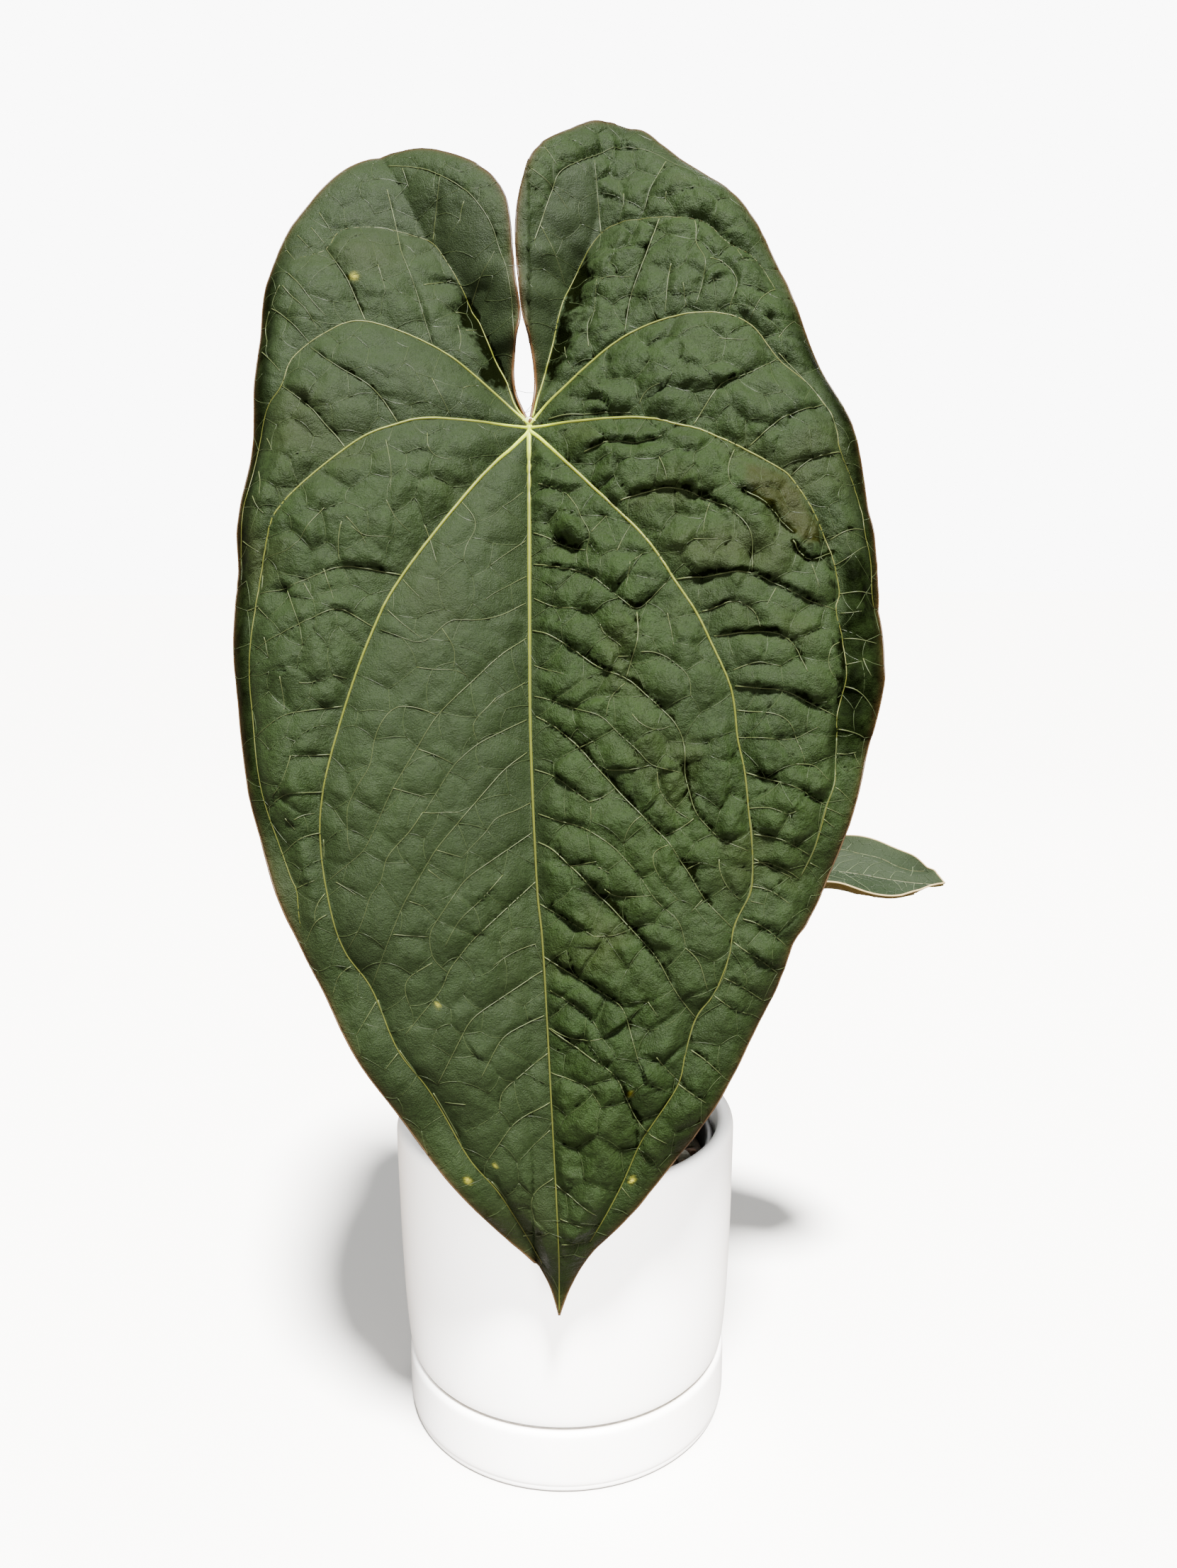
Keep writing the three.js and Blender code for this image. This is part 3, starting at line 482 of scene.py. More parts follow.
mainVeins = [
    midrib,
    [[0, -1], [-4, -6], [-18, -23], [-40, -54.5], [-48.5, -72], [-57, -97], [-63, -122],
     [-64, -140], [-60.5, -160], [-56.5, -172], [-49, -183], [-41, -202], [-32, -215],
     [-20.5, -237], [-10, -251], [2.5, -276.5]],
    [[0, -1], [3.5, -4.5], [10.5, -12.5], [15.5, -18], [26, -29.5], [34, -38], [41, -47.5],
     [46, -56], [52.5, -66.5], [57, -76.5], [62.5, -90], [64, -99.5], [64.5, -106.5], [66.5, -117],
     [67.5, -129.5], [68.5, -141.5], [68.5, -152], [67.5, -155.5], [64.5, -161], [62.5, -165.5],
     [61, -174], [56.5, -185.5], [51, -193], [47.5, -205], [45.5, -213.5], [38.5, -225],
     [34, -232.5], [28, -247], [18, -266.5]],
    [[0, 0], [-31, -0.5], [-42, -3], [-56, -10], [-76, -29], [-82.5, -43], [-87, -79], [-86.5, -98],
     [-82, -125], [-73, -150], [-71.5, -152.5], [-71, -158.5], [-70.5, -164]],
    [[0, 0], [34.5, -0.5], [49, -4], [53.5, -5], [62, -9], [71.5, -14], [80.5, -19.5], [84, -22.5],
     [90, -32], [94.5, -42], [97, -50.5], [98.5, -60.5], [97, -66], [99, -74.5], [99.5, -86.5],
     [97.5, -95.5], [96, -100], [96, -107], [95.5, -114.5], [95, -120.5], [92, -128], [88, -141.5],
     [84, -149.5]],
    [[0, 1], [-11.5, 12], [-30, 26], [-54, 34.5], [-67, 29.5], [-77, 20], [-80, 10], [-86, 0.5],
     [-91, -26], [-92, -30], [-92.5, -40.5], [-93, -49.5]],
    [[0, 1], [8.5, 10.5], [32, 30], [55, 37], [72.5, 33], [82.5, 20], [92, 11.5], [96, 5],
     [98.5, 1.5], [100.5, -6], [101, -12], [105.5, -21], [108.5, -31], [108.5, -38], [110.5, -49],
     [110.5, -59.5], [111.5, -64]],
    [[-1, 3], [-4, 7], [-6, 11.5], [-7.5, 17], [-12, 26.5], [-17, 39], [-20, 44.5], [-23, 51.5],
     [-27.5, 60], [-33.5, 69.5], [-39, 72], [-52, 74], [-64.5, 71.5], [-68.5, 62.5], [-77, 59]],
    [[1, 4], [6.5, 25.5], [13, 51.5], [25, 73.5], [40, 77], [59, 74.5], [68, 65.5], [76, 61],
     [80, 55], [83, 47]],
]
# Creases between the veins: the side that each falls from, how strong it is against the deepest, how
# wide its foot of painted shade is in mm, and a note where it runs along a main vein
creaseSets = [
    {"falls": (0, 1), "strength": 1.0, "shade": 2.3, "lines": [
        [[1.5, -38], [5.5, -39.5], [10, -42.5], [13.5, -44], [18, -45.5]], [[29.5, -29.5], [32.5, -28],
         [44, -25.5], [47.5, -26], [54, -29], [61.5, -32], [67, -36.5], [69.5, -40.5], [70.5, -44.5],
         [70.5, -49.5], [70, -54]], [[2, -98.5], [7.5, -101.5], [12, -105.5], [16, -109], [20.5, -115],
         [24.5, -119], [29, -124.5], [33.5, -129], [37.5, -133.5], [42, -137.5], [46, -144], [49.5, -149],
         [52.5, -155], [56, -159], [62, -165]], [[2.5, -138.5], [6.5, -140], [12.5, -146], [16, -149],
         [20, -154], [24.5, -158], [28.5, -162.5], [33, -167.5], [37.5, -172], [40, -176], [43.5, -183],
         [48, -189.5], [51, -193]], [[1, -70.5], [4.5, -71.5], [10, -74.5], [16.5, -79.5], [22, -84],
         [27, -86], [30.5, -87], [44, -100], [48, -107], [48, -118], [51, -130], [58.5, -138],
         [67, -141.5]], [[1.5, -48.5], [18.5, -52.5], [34, -66.5], [44, -56.5]], [[34, -66.5], [34.5, -74],
         [30.5, -87]], [[4, -174.5], [28.5, -189], [33, -206]], [[5.5, -197], [26, -210], [32.5, -225],
         [36, -229]], [[46.5, -56], [69.5, -54], [88, -63.5], [97, -66]], [[58, -74.5], [72, -73],
         [79.5, -74.5], [83.5, -78.5], [86, -86.5]], [[64, -90.5], [79, -92], [95.5, -100]],
    ]},
    {"falls": (0, 1), "strength": 0.8, "shade": 1.8, "lines": [
        [[1.5, -115.5], [6.5, -117], [10.5, -119.5], [14.5, -123], [18.5, -126]], [[3, -158],
         [7.5, -160.5], [13.5, -164], [19.5, -167.5]], [[15.5, -109], [20, -107]], [[12.5, -146],
         [20.5, -144.5]], [[41, -116], [44, -116.5], [47, -117.5]], [[48.5, -147], [52, -145]], [[6, -197],
         [11.5, -199.5], [17, -200], [22, -199]], [[96, -43], [101, -40], [105, -39], [108.5, -38.5]],
        [[98.5, -60.5], [105.5, -60], [110.5, -59.5]], [[99.5, -75], [102.5, -75], [105.5, -75.5],
         [110, -76.5]], [[99.5, -83.5], [104.5, -82.5]], [[99, -90.5], [103, -91.5], [106.5, -95],
         [108, -97.5]], [[96.5, -104], [99.5, -104.5], [102.5, -105], [105.5, -106.5]], [[96, -111.5],
         [99.5, -112], [102.5, -111]], [[54.5, -66.5], [59, -65.5], [62.5, -63.5], [66, -63.5],
         [68.5, -65.5], [71.5, -67.5], [72, -72]], [[68.5, -152.5], [73, -153], [77, -155.5], [80, -158]],
        [[65.5, -162.5], [70, -163.5], [74, -166.5], [79, -171]], [[62.5, -169.5], [65.5, -172],
         [70, -174.5], [76.5, -179.5]], [[49.5, -203], [54, -206], [59, -211]], [[45.5, -213.5],
         [49.5, -216.5], [54, -219.5]], [[6.5, 2], [13, 2.5], [23, 2], [33.5, 1]], [[-35.5, 50],
         [-30.5, 53], [-26, 55]], [[-25, 41.5], [-21, 43]], [[-21.5, 35], [-18, 36.5]], [[-88.5, -65],
         [-84.5, -64]], [[53.5, -4], [62, 9.5], [73.5, 14.5], [82, 20]], [[-42, -3], [-47.5, 6],
         [-52.5, 10.5], [-58.5, 14], [-64, 17.5], [-71, 23.5]], [[-58.5, -12], [-62, -7], [-65, -4.5],
         [-69, 1], [-72.5, 4], [-80, 10]], [[-40, -54], [-58, -51.5], [-75.5, -59], [-84, -60]],
        [[-54, 34.5], [-60.5, 50], [-68.5, 62.5]], [[18, -12], [27, -8], [35, -10], [43, -8]],
        [[67, -117.5], [82, -122], [92, -128]], [[69, -136.5], [76.5, -137.5], [86.5, -143]], [[69, -144],
         [81, -150]], [[101, -13], [90, -16.5], [84, -22]], [[71, -12], [81, -3], [97, 4]], [[45, 76],
         [34, 44], [32, 31]],
    ]},
    {"falls": (0, 1), "strength": 0.5, "shade": 1.4, "lines": [
        [[3, -21.5], [7.5, -22.5], [10.5, -24.5], [12.5, -26]], [[1.5, -60], [4.5, -62], [10, -64],
         [17, -64.5], [20, -66.5]], [[22.5, -70], [23, -73], [26, -74.5], [27.5, -75.5], [29, -77.5]],
        [[28, -80.5], [32, -80.5]], [[1.5, -82], [5, -83.5], [8, -84.5], [11, -85.5]], [[1.5, -92],
         [7, -93.5], [13, -96], [16.5, -97.5], [23, -99], [25.5, -102.5], [29, -106], [33, -109.5],
         [36, -113.5], [37, -115], [41, -116]], [[24, -116], [29, -116.5], [33.5, -116], [37, -115]],
        [[39.5, -117], [39.5, -122], [42.5, -126.5], [45.5, -129.5], [49, -131.5]], [[50.5, -131.5],
         [47, -134.5], [42, -136.5]], [[2.5, -129.5], [9.5, -132], [16, -133.5], [18.5, -135],
         [22.5, -137.5], [26.5, -140.5], [30, -144.5], [34, -149], [37, -154.5], [41.5, -159.5],
         [45, -161.5], [47, -166.5], [47.5, -170.5]], [[23, -153], [25.5, -155.5], [29, -155.5],
         [37, -155]], [[21, -146], [23, -147.5], [24.5, -148]], [[98.5, -67], [102, -67], [105, -66.5]],
        [[63.5, -85.5], [67.5, -84], [71.5, -82.5], [74.5, -84], [78, -84.5]], [[64.5, -98], [69, -98.5],
         [73, -99], [77.5, -99.5], [81, -102.5], [82.5, -107], [84, -111], [85, -115]], [[67.5, -128.5],
         [75, -128], [79.5, -131.5], [81.5, -129.5]], [[68.5, -145.5], [72, -144.5], [76.5, -146.5],
         [81, -148.5], [83.5, -150.5]], [[95, -122], [97.5, -123.5], [99.5, -126]], [[91, -132],
         [94.5, -134.5]], [[87, -145.5], [90, -147]], [[47.5, -171], [50.5, -173.5], [52.5, -176],
         [53, -180.5], [54.5, -184.5]], [[58, -144], [57.5, -146.5], [59.5, -150.5], [60.5, -153],
         [63, -155], [64.5, -156.5]], [[59.5, -180.5], [64, -182.5], [72, -188]], [[56.5, -186],
         [62.5, -190.5], [69, -192.5]], [[6, -185], [10, -187], [14.5, -190], [19, -193], [20.5, -196]],
        [[38.5, -204.5], [41.5, -208.5], [44.5, -211.5]], [[8.5, -258], [15.5, -260]], [[9, -267],
         [16.5, -266]], [[36.5, -229.5], [42, -232.5]], [[33.5, -234.5], [35.5, -239]], [[83, 46.5],
         [79, 43.5], [76, 39.5], [73.5, 34]], [[-85.5, 39.5], [-82, 37], [-77, 32], [-71.5, 25.5]],
        [[-88.5, 24.5], [-84.5, 20], [-80.5, 15]], [[-92, -55.5], [-89.5, -55]], [[-71.5, -152],
         [-69, -150.5], [-65.5, -149.5]], [[-3.5, -266], [0.5, -265.5], [5, -263]], [[-74.5, -130.5],
         [-71.5, -134]], [[6, -211], [17.5, -214], [21.5, -220.5]], [[7.2, -247], [20, -256]],
        [[-48.5, -71], [-58.5, -65], [-70, -70.5], [-85, -78]], [[-57.5, -96], [-75, -98.5], [-85, -105]],
        [[-61, -111], [-73, -111.5]], [[-63, -122.5], [-75, -123], [-81, -127.5]], [[-64, -135],
         [-69.5, -136], [-77, -142]], [[-62, -160], [-65.5, -161.5], [-69, -169]], [[-55, -176],
         [-59, -178], [-61, -185]], [[-47.5, -187], [-53.5, -197]], [[-41, -203], [-45, -208]],
        [[-33.5, 70], [-30.5, 91]], [[25, 73.5], [23, 101]], [[2, 66], [10.5, 93], [20, 101], [33.5, 111],
         [43.5, 108], [53, 100]], [[1.5, -151], [-18, -168.5], [-25.5, -178], [-26.5, -182.5],
         [-38.5, -197]], [[3.5, -179], [-18.5, -192.5], [-29, -213]], [[4, -193], [-9, -198.5],
         [-15.5, -211]], [[5, -205], [-10, -216.5], [-10, -222.5]], [[5.6, -220.5], [-6, -226.5],
         [-14, -238]],
    ]},
    {"falls": (0, 1), "strength": 0.24, "shade": 0.5, "lines": [
        [[12.5, -26], [16.5, -32.5], [17, -36], [20, -39.5], [19.5, -43], [17.5, -45.5], [19, -48],
         [19, -52]], [[20, -40], [22, -37.5], [25, -34]], [[28, -46.5], [30.5, -41], [33, -37]],
        [[33.5, -49.5], [36, -47.5]], [[35, -79.5], [38.5, -79], [43.5, -81], [45.5, -83.5], [49, -86],
         [50, -87.5], [50, -94]], [[30, -89], [25.5, -92.5], [24.5, -95.5], [24, -99.5]], [[32, -99],
         [33.5, -101.5], [37.5, -104], [41.5, -104], [43.5, -103]], [[34.5, -130.5], [32, -132],
         [29.5, -136], [29, -139]], [[18.5, -126], [21, -125.5], [24, -124], [26.5, -122]],
        [[19.5, -167.5], [26.5, -167.5], [31.5, -165]], [[42.5, -139.5], [37.5, -141.5], [38, -146.5],
         [42, -152.5], [45.5, -156.5]], [[53, -156.5], [49.5, -160]], [[66, -13.5], [63.5, -19],
         [63.5, -22.5], [64, -27], [69, -26.5]], [[52, -43.5], [60, -44]], [[64.5, -106.5], [73, -107],
         [82.5, -107.5], [86, -105], [89.5, -103.5]], [[82, -115], [89.5, -115], [90.5, -119],
         [93.5, -120.5]], [[97, -51.5], [101, -49.5], [106, -45.5], [109, -44]], [[92, -128.5],
         [95, -129.5], [97.5, -131]], [[68, -157], [72, -158]], [[28, -247.5], [31, -251]], [[24, 52.5],
         [30, 52.5], [36.5, 52]], [[5.5, 102.5], [10, 94.5]], [[1, 92], [9, 86], [13.5, 79.5]], [[4, 72],
         [7, 67], [10, 60.5], [12.5, 53.5]], [[36, 3.5], [37, 6.5], [40.5, 9.5], [44.5, 9.5]], [[59.5, 49],
         [64.5, 48]], [[71, 62], [71.5, 56.5], [74, 56], [77, 57.5]], [[82.5, 27], [85, 31], [89, 34.5]],
        [[62.5, 26], [65.5, 25.5], [72, 25.5]], [[-31.5, 13], [-28.5, 7], [-25.5, 1]], [[-21.5, 11],
         [-17.5, 13.5]], [[-72, 78], [-67.5, 70.5]], [[-78.5, 68], [-74, 62.5]], [[-82, 62.5],
         [-78.5, 57.5]], [[-74, 71], [-69, 64.5]], [[-80, 51.5], [-75.5, 46.5], [-71.5, 40.5],
         [-66.5, 35]], [[-81.5, 46.5], [-78, 42], [-73, 37.5], [-69, 30]], [[-82.5, 47], [-85, 44],
         [-85.5, 40]], [[-91.5, -41.5], [-87.5, -45], [-84, -47]], [[-84.5, -64.5], [-80.5, -68.5]],
        [[-70, -89], [-67, -89.5], [-63, -87.5]], [[-60, -86.5], [-56, -87.5]], [[-71.5, -131],
         [-69.5, -129], [-65.5, -129]], [[-39.5, -55.5], [-37.5, -58], [-33.5, -62]], [[-44, -65.5],
         [-40, -69.5], [-33, -75]], [[-41.5, -121.5], [-31, -124.5]], [[-34, -109.5], [-28, -111.5],
         [-23.5, -114]], [[-31, -146.5], [-26.5, -150]], [[-28.5, -140.5], [-20.5, -143]], [[-36.5, -156],
         [-32.5, -157.5]], [[-41.5, -166], [-31, -167]], [[-59, -150], [-55.5, -152], [-52.5, -154]],
        [[-20.5, -219.5], [-27, -219]], [[6.5, -245], [0, -249.5], [-1, -253.5], [0.5, -259.5]],
        [[5.5, -229.5], [-0.5, -235]], [[-1.2, -40.5], [-12.5, -50.5]], [[-1.2, -61.5], [-9, -66.5],
         [-18.5, -69], [-24, -68], [-33, -77], [-46, -72]], [[-1, -73], [-9, -79], [-28.5, -99],
         [-42, -122.5], [-50, -140.5], [-62, -150]], [[-1, -99.5], [-16, -107.5], [-23.5, -114.5],
         [-32, -129]], [[-1, -110], [-8, -115.5], [-28.5, -140], [-38.5, -157], [-49, -183]],
        [[0.5, -135.5], [-20, -149.5], [-31, -166], [-30, -174], [-25.5, -178]],
    ]},
    {"falls": (1, 0), "strength": 0.55, "shade": 1.8, "lines": [
        [[-47, -186.5], [-44.5, -194.5]], [[-40.5, -202], [-35, -210.5]], [[-30.5, -216], [-26.5, -224],
         [-23, -231]], [[-13, -245.5], [-9, -251]], [[-63, -137], [-63, -143]], [[-83.5, -54],
         [-83.5, -59]], [[-50, 101], [-37, 96], [-30.5, 91.5], [-21, 84], [-15, 75.5], [-12, 69.5],
         [-9.5, 60.5], [-7.5, 55], [-6, 46.5], [-5.5, 40.5], [-5, 30.5], [-5, 24.5]], [[82.5, 22],
         [87, 17.5], [92, 11.5], [95.5, 6.5], [98.5, 1.5], [100.5, -5]],
    ]},
    {"falls": (1, 0), "strength": 0.5, "shade": 1.4, "lines": [
        [[-49.5, 89], [-46.5, 76.5], [-43.5, 62.5], [-40.5, 55], [-37.5, 46], [-35, 37], [-32, 27]],
        [[36, -187.5], [39, -192]], [[20, 27], [19.5, 35.5], [20.5, 38.5], [22.5, 40.5]], [[48, 55.5],
         [46.5, 48.5], [45.5, 37]], [[48.5, 102], [45, 94.5], [42, 88.5], [40, 80]], [[57, 74], [57.5, 69],
         [56.5, 64], [59.5, 57], [59, 51.5], [57.5, 45], [55.5, 39]], [[61, 56.5], [64, 58.5], [67, 54.5],
         [69.5, 51], [70, 46.5], [67.5, 41], [66.5, 37]], [[-22, 80], [-23.5, 76.5], [-23.5, 72.5]],
        [[-84.5, -7.5], [-82.5, -10.5], [-82, -12.5]], [[-86.5, -19], [-85, -24.5], [-84.5, -28.5]],
        [[-87.5, -28], [-85.5, -32.5], [-83, -34.5]], [[-58, -38], [-59, -41.5], [-59, -50]],
        [[-33, -37.5], [-31, -43], [-30, -46.5], [-29, -50]], [[105, -81.5], [105.5, -85], [107, -87.5]],
    ]},
    {"falls": (-1, 0), "strength": 0.5, "shade": 1.4, "lines": [
        [[-86.5, 39], [-89, 35.5], [-88, 31], [-86.5, 28], [-86.5, 25.5]], [[-76, -87], [-75.5, -92],
         [-75, -98]], [[-62.5, -153.5], [-65.5, -157], [-66, -160], [-65.5, -162.5]], [[96, -106.5],
         [95.5, -114.5], [95, -120.5], [93, -125], [91.5, -128], [89.5, -135], [88, -141.5], [86, -145.5],
         [84, -149.5]], [[67, -122.5], [67.5, -129.5], [68.5, -135], [68.5, -141.5], [68.5, -149.5],
         [67.5, -155.5], [64.5, -161], [62.5, -165.5], [62, -169.5], [61, -174], [59.5, -180.5],
         [56.5, -185.5], [54, -189], [51, -193], [49.5, -198], [47.5, -204.5]],
    ]},
    {"falls": (1, 0), "strength": 0.24, "shade": 0.5, "lines": [
        [[32, -50.5], [31.5, -55], [30.5, -58.5]], [[43.5, -67], [45, -75], [45, -78]], [[19, -127.5],
         [19, -132]], [[42, -15.5], [44, -22], [44, -25]], [[57.5, -31.5], [55.5, -37], [55, -41.5]],
        [[77.5, -59.5], [76, -62], [74, -65.5]], [[89, -52], [90.5, -56.5], [91, -59.5]], [[97.5, -76.5],
         [93.5, -78], [93, -83], [93, -86], [95, -88.5]], [[102, -111.5], [104, -115.5]], [[23, 52],
         [22.5, 45.5], [22, 40]], [[12, 28.5], [12.5, 22], [15, 19.5]], [[51.5, 47], [52.5, 39]],
        [[33, 87.5], [33, 81.5]], [[47.5, 85.5], [47, 81]], [[-44.5, 98], [-42, 90]], [[-50.5, 55.5],
         [-47.5, 45.5]], [[-24, 36], [-22.5, 30], [-23.5, 25.5]], [[-56.5, -36.5], [-52, -41.5],
         [-50.5, -45]], [[-75, -59.5], [-73, -64.5], [-70.5, -69.5], [-69, -77.5]], [[-69.5, -57.5],
         [-66, -63.5]], [[-63.5, -53], [-60, -63]], [[-81.5, -74.5], [-80, -81]], [[-21.5, -29],
         [-18.5, -32.5], [-16.5, -36], [-17.5, -40.5], [-20, -43.5], [-20.5, -49]], [[-30, -175],
         [-33.5, -177], [-38.5, -180], [-38.5, -184.5], [-37, -188]],
    ]},
    {"falls": (-1, 0), "strength": 0.24, "shade": 0.5, "lines": [
        [[-20, 46.5], [-17, 53], [-13.5, 57], [-11.5, 61.5]], [[-72.5, -111.5], [-74, -116.5],
         [-75.5, -120.5], [-78.5, -123.5]],
    ]},
    {"falls": (0, 1), "strength": 0.9, "shade": 2.2, "name": "tear", "lines": [
        [[68.5, -27.5], [70.5, -28.5], [72.5, -30], [75, -32], [77, -33], [78, -34.5], [79.5, -37.5],
         [82, -39], [83.5, -41.5]], [[83, -44.5], [85, -47.5], [87, -50], [89, -51], [91.5, -49.5],
         [93.5, -48.5], [95.5, -48], [96.5, -47]],
    ]},
    {"falls": (0, 1), "strength": 0.07, "shade": 0.1, "lines": [
        [[-2, -24], [-5.5, -28], [-9, -30.5]], [[-1, -52.5], [-5, -55], [-7, -57], [-11.5, -59.5],
         [-14, -62]], [[-45.5, -9.5], [-43, -20], [-43.5, -27.5]], [[-44.5, -30.5], [-41.5, -37],
         [-37, -40.5]], [[-55, -39.5], [-51.5, -42.5], [-42.5, -42.5]], [[-32.5, -6.5], [-32, -13.5],
         [-29, -15.5], [-24.5, -15.5]], [[-34.5, -84], [-27.5, -85], [-23, -84], [-19, -86.5]],
        [[-27, -71.5], [-24, -76], [-22.5, -79.5], [-23.5, -84]], [[-1.5, -87.5], [-5.5, -90.5],
         [-9.5, -92.5], [-11.5, -95]], [[-28.5, -99], [-32.5, -97], [-35.5, -96.5], [-40, -96],
         [-42.5, -97.5], [-45, -101], [-47.5, -107], [-48, -114.5], [-52.5, -121.5], [-55.5, -127.5],
         [-55, -133], [-55.5, -137], [-54, -141.5]], [[-32.5, -129], [-36, -134.5], [-40.5, -139],
         [-44, -143.5], [-44.5, -149.5], [-48.5, -154], [-49.5, -159], [-52, -165], [-56, -171]],
        [[-32.5, -129], [-28.5, -129.5], [-23.5, -128.5], [-20.5, -129.5]], [[-10.5, -93], [-14.5, -98],
         [-17.5, -100], [-18, -103], [-16, -107]], [[0, -126], [-5.5, -129], [-11, -130.5], [-13, -135],
         [-16.5, -138], [-20.5, -142.5]], [[-8.5, -148.5], [-11, -151.5], [-16.5, -157.5], [-21, -161],
         [-23.5, -165], [-26, -170]], [[1.5, -170.5], [-4, -172], [-8, -174], [-11.5, -176.5]],
        [[-63.5, -33.5], [-65.5, -35], [-68, -39.5], [-72.5, -45.5], [-75, -47.5], [-83, -48.5]],
    ]},
    {"falls": (1, 0), "strength": 1.3, "shade": 8.0, "alongVein": True, "lines": [
        [[5, 13], [6.5, 22.5], [10, 35.5], [13, 49], [16.5, 58], [21.5, 69.5]],
    ]},
    {"falls": (-1, 0), "strength": 1.3, "shade": 8.0, "alongVein": True, "lines": [
        [[-6, 11.5], [-7.5, 17], [-12, 26.5], [-17, 39], [-20, 44.5], [-23, 51.5], [-26, 56.5]],
    ]},
    {"falls": (-1, 0), "strength": 0.9, "shade": 5.0, "alongVein": True, "lines": [
        [[91.5, -35.5], [92, -39.5], [93, -44], [94.5, -47], [96.5, -50.5], [97.5, -56], [98, -60.5],
         [97.5, -64], [97, -66]], [[98, -70], [99, -74.5], [99.5, -80], [99.5, -86.5], [98.5, -90.5],
         [97.5, -95.5], [96, -100]],
    ]},
]
# Places where the blade is smooth: between the innermost side veins and the sinus
leftCalm = np.array([[0, 0], [-6, 11.5], [-17, 39], [-27.5, 60], [-33.5, 69.5], [-31, 90], [-20, 82],
    [-13, 70], [-6, 45], [-3, 20]])
rightCalm = np.array([[0, 0], [6.5, 25.5], [13, 51.5], [25, 73.5], [23, 101], [12, 95], [3, 72],
    [-3, 45], [1, 20]])
# The rib that parts the smooth inner blade from the crumpled outer one on the left: [x, y]
partingRib = np.array([[2, -276], [-20, -237], [-41, -202], [-56, -172], [-64, -140], [-57, -97],
    [-40, -54], [-4, -6]])
tipHeight = -294
midribOffset = 8
bluntReach = 30

mainForm = {
    "length": 294, "arch": 14, "lobeLean": 0.19, "lobeCurl": 0.0005, "sideDroop": 0,
    "trough": 14, "troughReach": 45, "sinusReach": 25, "leftTroughTurn": -0.5, "rightTroughTurn": 0.3,
    "marginRoll": 7, "marginReach": 10, "capStart": 0, "capFade": 60, "hemRoll": 8, "hemReach": 4.5,
    "waveHeight": 1.8, "wavePitch": 43, "waveReach": 22, "rightWaveStart": 1.9,
    "bulge": 4.4, "bulgeReach": 7, "creaseDepth": 3.8, "creaseSteep": 1.2, "creaseGentle": 8.0,
    "creaseDeepest": 1.1, "creaseRibGap": 2.5, "ledge": 38.0, "platePitch": 11.5, "plateDepth": 3.0,
    "plateShare": 0.85, "tileShare": 0.55, "cellPitch": 5.6, "cellDepth": 0.8, "wrinkleDepth": 0.4,
    "wrinkles": [(0.9, 15, 12), (0.3, 5.2, 13), (0.12, 2.7, 14)],  # each a share, a pitch and a seed
    # Of the next line, the rib, net and tear values set how strongly painted shade darkens the colour
    # beside the ribs, at the plates' lower edges and along the tears
    "calmRibGap": 1.6, "calmEdge": (1, 13), "ribShade": 0.35, "netShade": 0.75, "tearShade": 1.3,
    "thickness": 1.1, "rimThickness": 0.5, "rimReach": 3, "edgeReach": 0.8,
}
secondScale = 0.43
secondForm = {
    **mainForm, "length": 294 * secondScale, "arch": 6, "lobeLean": 0, "lobeCurl": 0.004,
    "sideDroop": 0.45, "trough": 3, "troughReach": 25, "sinusReach": 14, "marginRoll": -4,
    "marginReach": 4, "capStart": 100, "hemRoll": 0, "waveHeight": 0.8, "wavePitch": 31,
    "waveReach": 12, "bulge": 1.6, "bulgeReach": 4, "creaseDepth": 0.9, "creaseSteep": 1.4,
    "creaseGentle": 3.0, "platePitch": 5.0, "plateDepth": 0.35, "cellDepth": 0.3,
    "wrinkleDepth": 0.3, "thickness": 0.8, "rimThickness": 0.45,
}


# Blades
def copied(points, copy):
    # The same line for a copy: scaled about the midrib's line, blunter toward the tip by
    # 1 + blunt * exp((tip - y) / reach), and turned left for right when the copy is mirrored
    p = np.asarray(points, float)
    x, y = p.T
    axis = midribOffset * y / tipHeight
    spread = copy["scale"] * (1 + copy["blunt"] * np.exp((tipHeight - y) / bluntReach))
    side = -1 if copy["mirrored"] else 1
    return np.stack([side * (axis * copy["scale"] + (x - axis) * spread), y * copy["scale"]], 1)


def broadHeight(x, y, marginDistance, form):
    # The blade's broad form, as in the part. The trough is depth * tanh(distance / reach) from a
    # bottom that forks into both lobes, the arch is 4 * height * share * (1 - share) along the
    # blade, and the lobes lean and curl back. A side droops by the fourth power of the way to the
    # tip. The margins bend back by roll * exp(-distance / reach), and a slow sine wave runs on them.
    turn = np.where(x < 0, form["leftTroughTurn"], form["rightTroughTurn"])
    bottom = np.where(y > 0, turn * y, 0)
    outward = np.where(x < 0, bottom - x, x - bottom)
    reach = np.where(outward > 0, form["troughReach"], form["sinusReach"])
    trough = form["trough"] * np.tanh(np.abs(outward) / reach)
    share = -y / form["length"]
    along = np.where(y < 0, 4 * form["arch"] * share * (1 - share),
                     -form["lobeLean"] * y - form["lobeCurl"] * y * y)
    droop = form["sideDroop"] * np.minimum(x, 0) * np.maximum(share, 0) ** 4
    roll = form["marginRoll"] * np.exp(-marginDistance / form["marginReach"])
    phase = 2 * np.pi * y / form["wavePitch"] + np.where(x < 0, 0, form["rightWaveStart"])
    wave = form["waveHeight"] * np.sin(phase) * np.exp(-marginDistance / form["waveReach"])
    return trough + along + droop - roll + wave


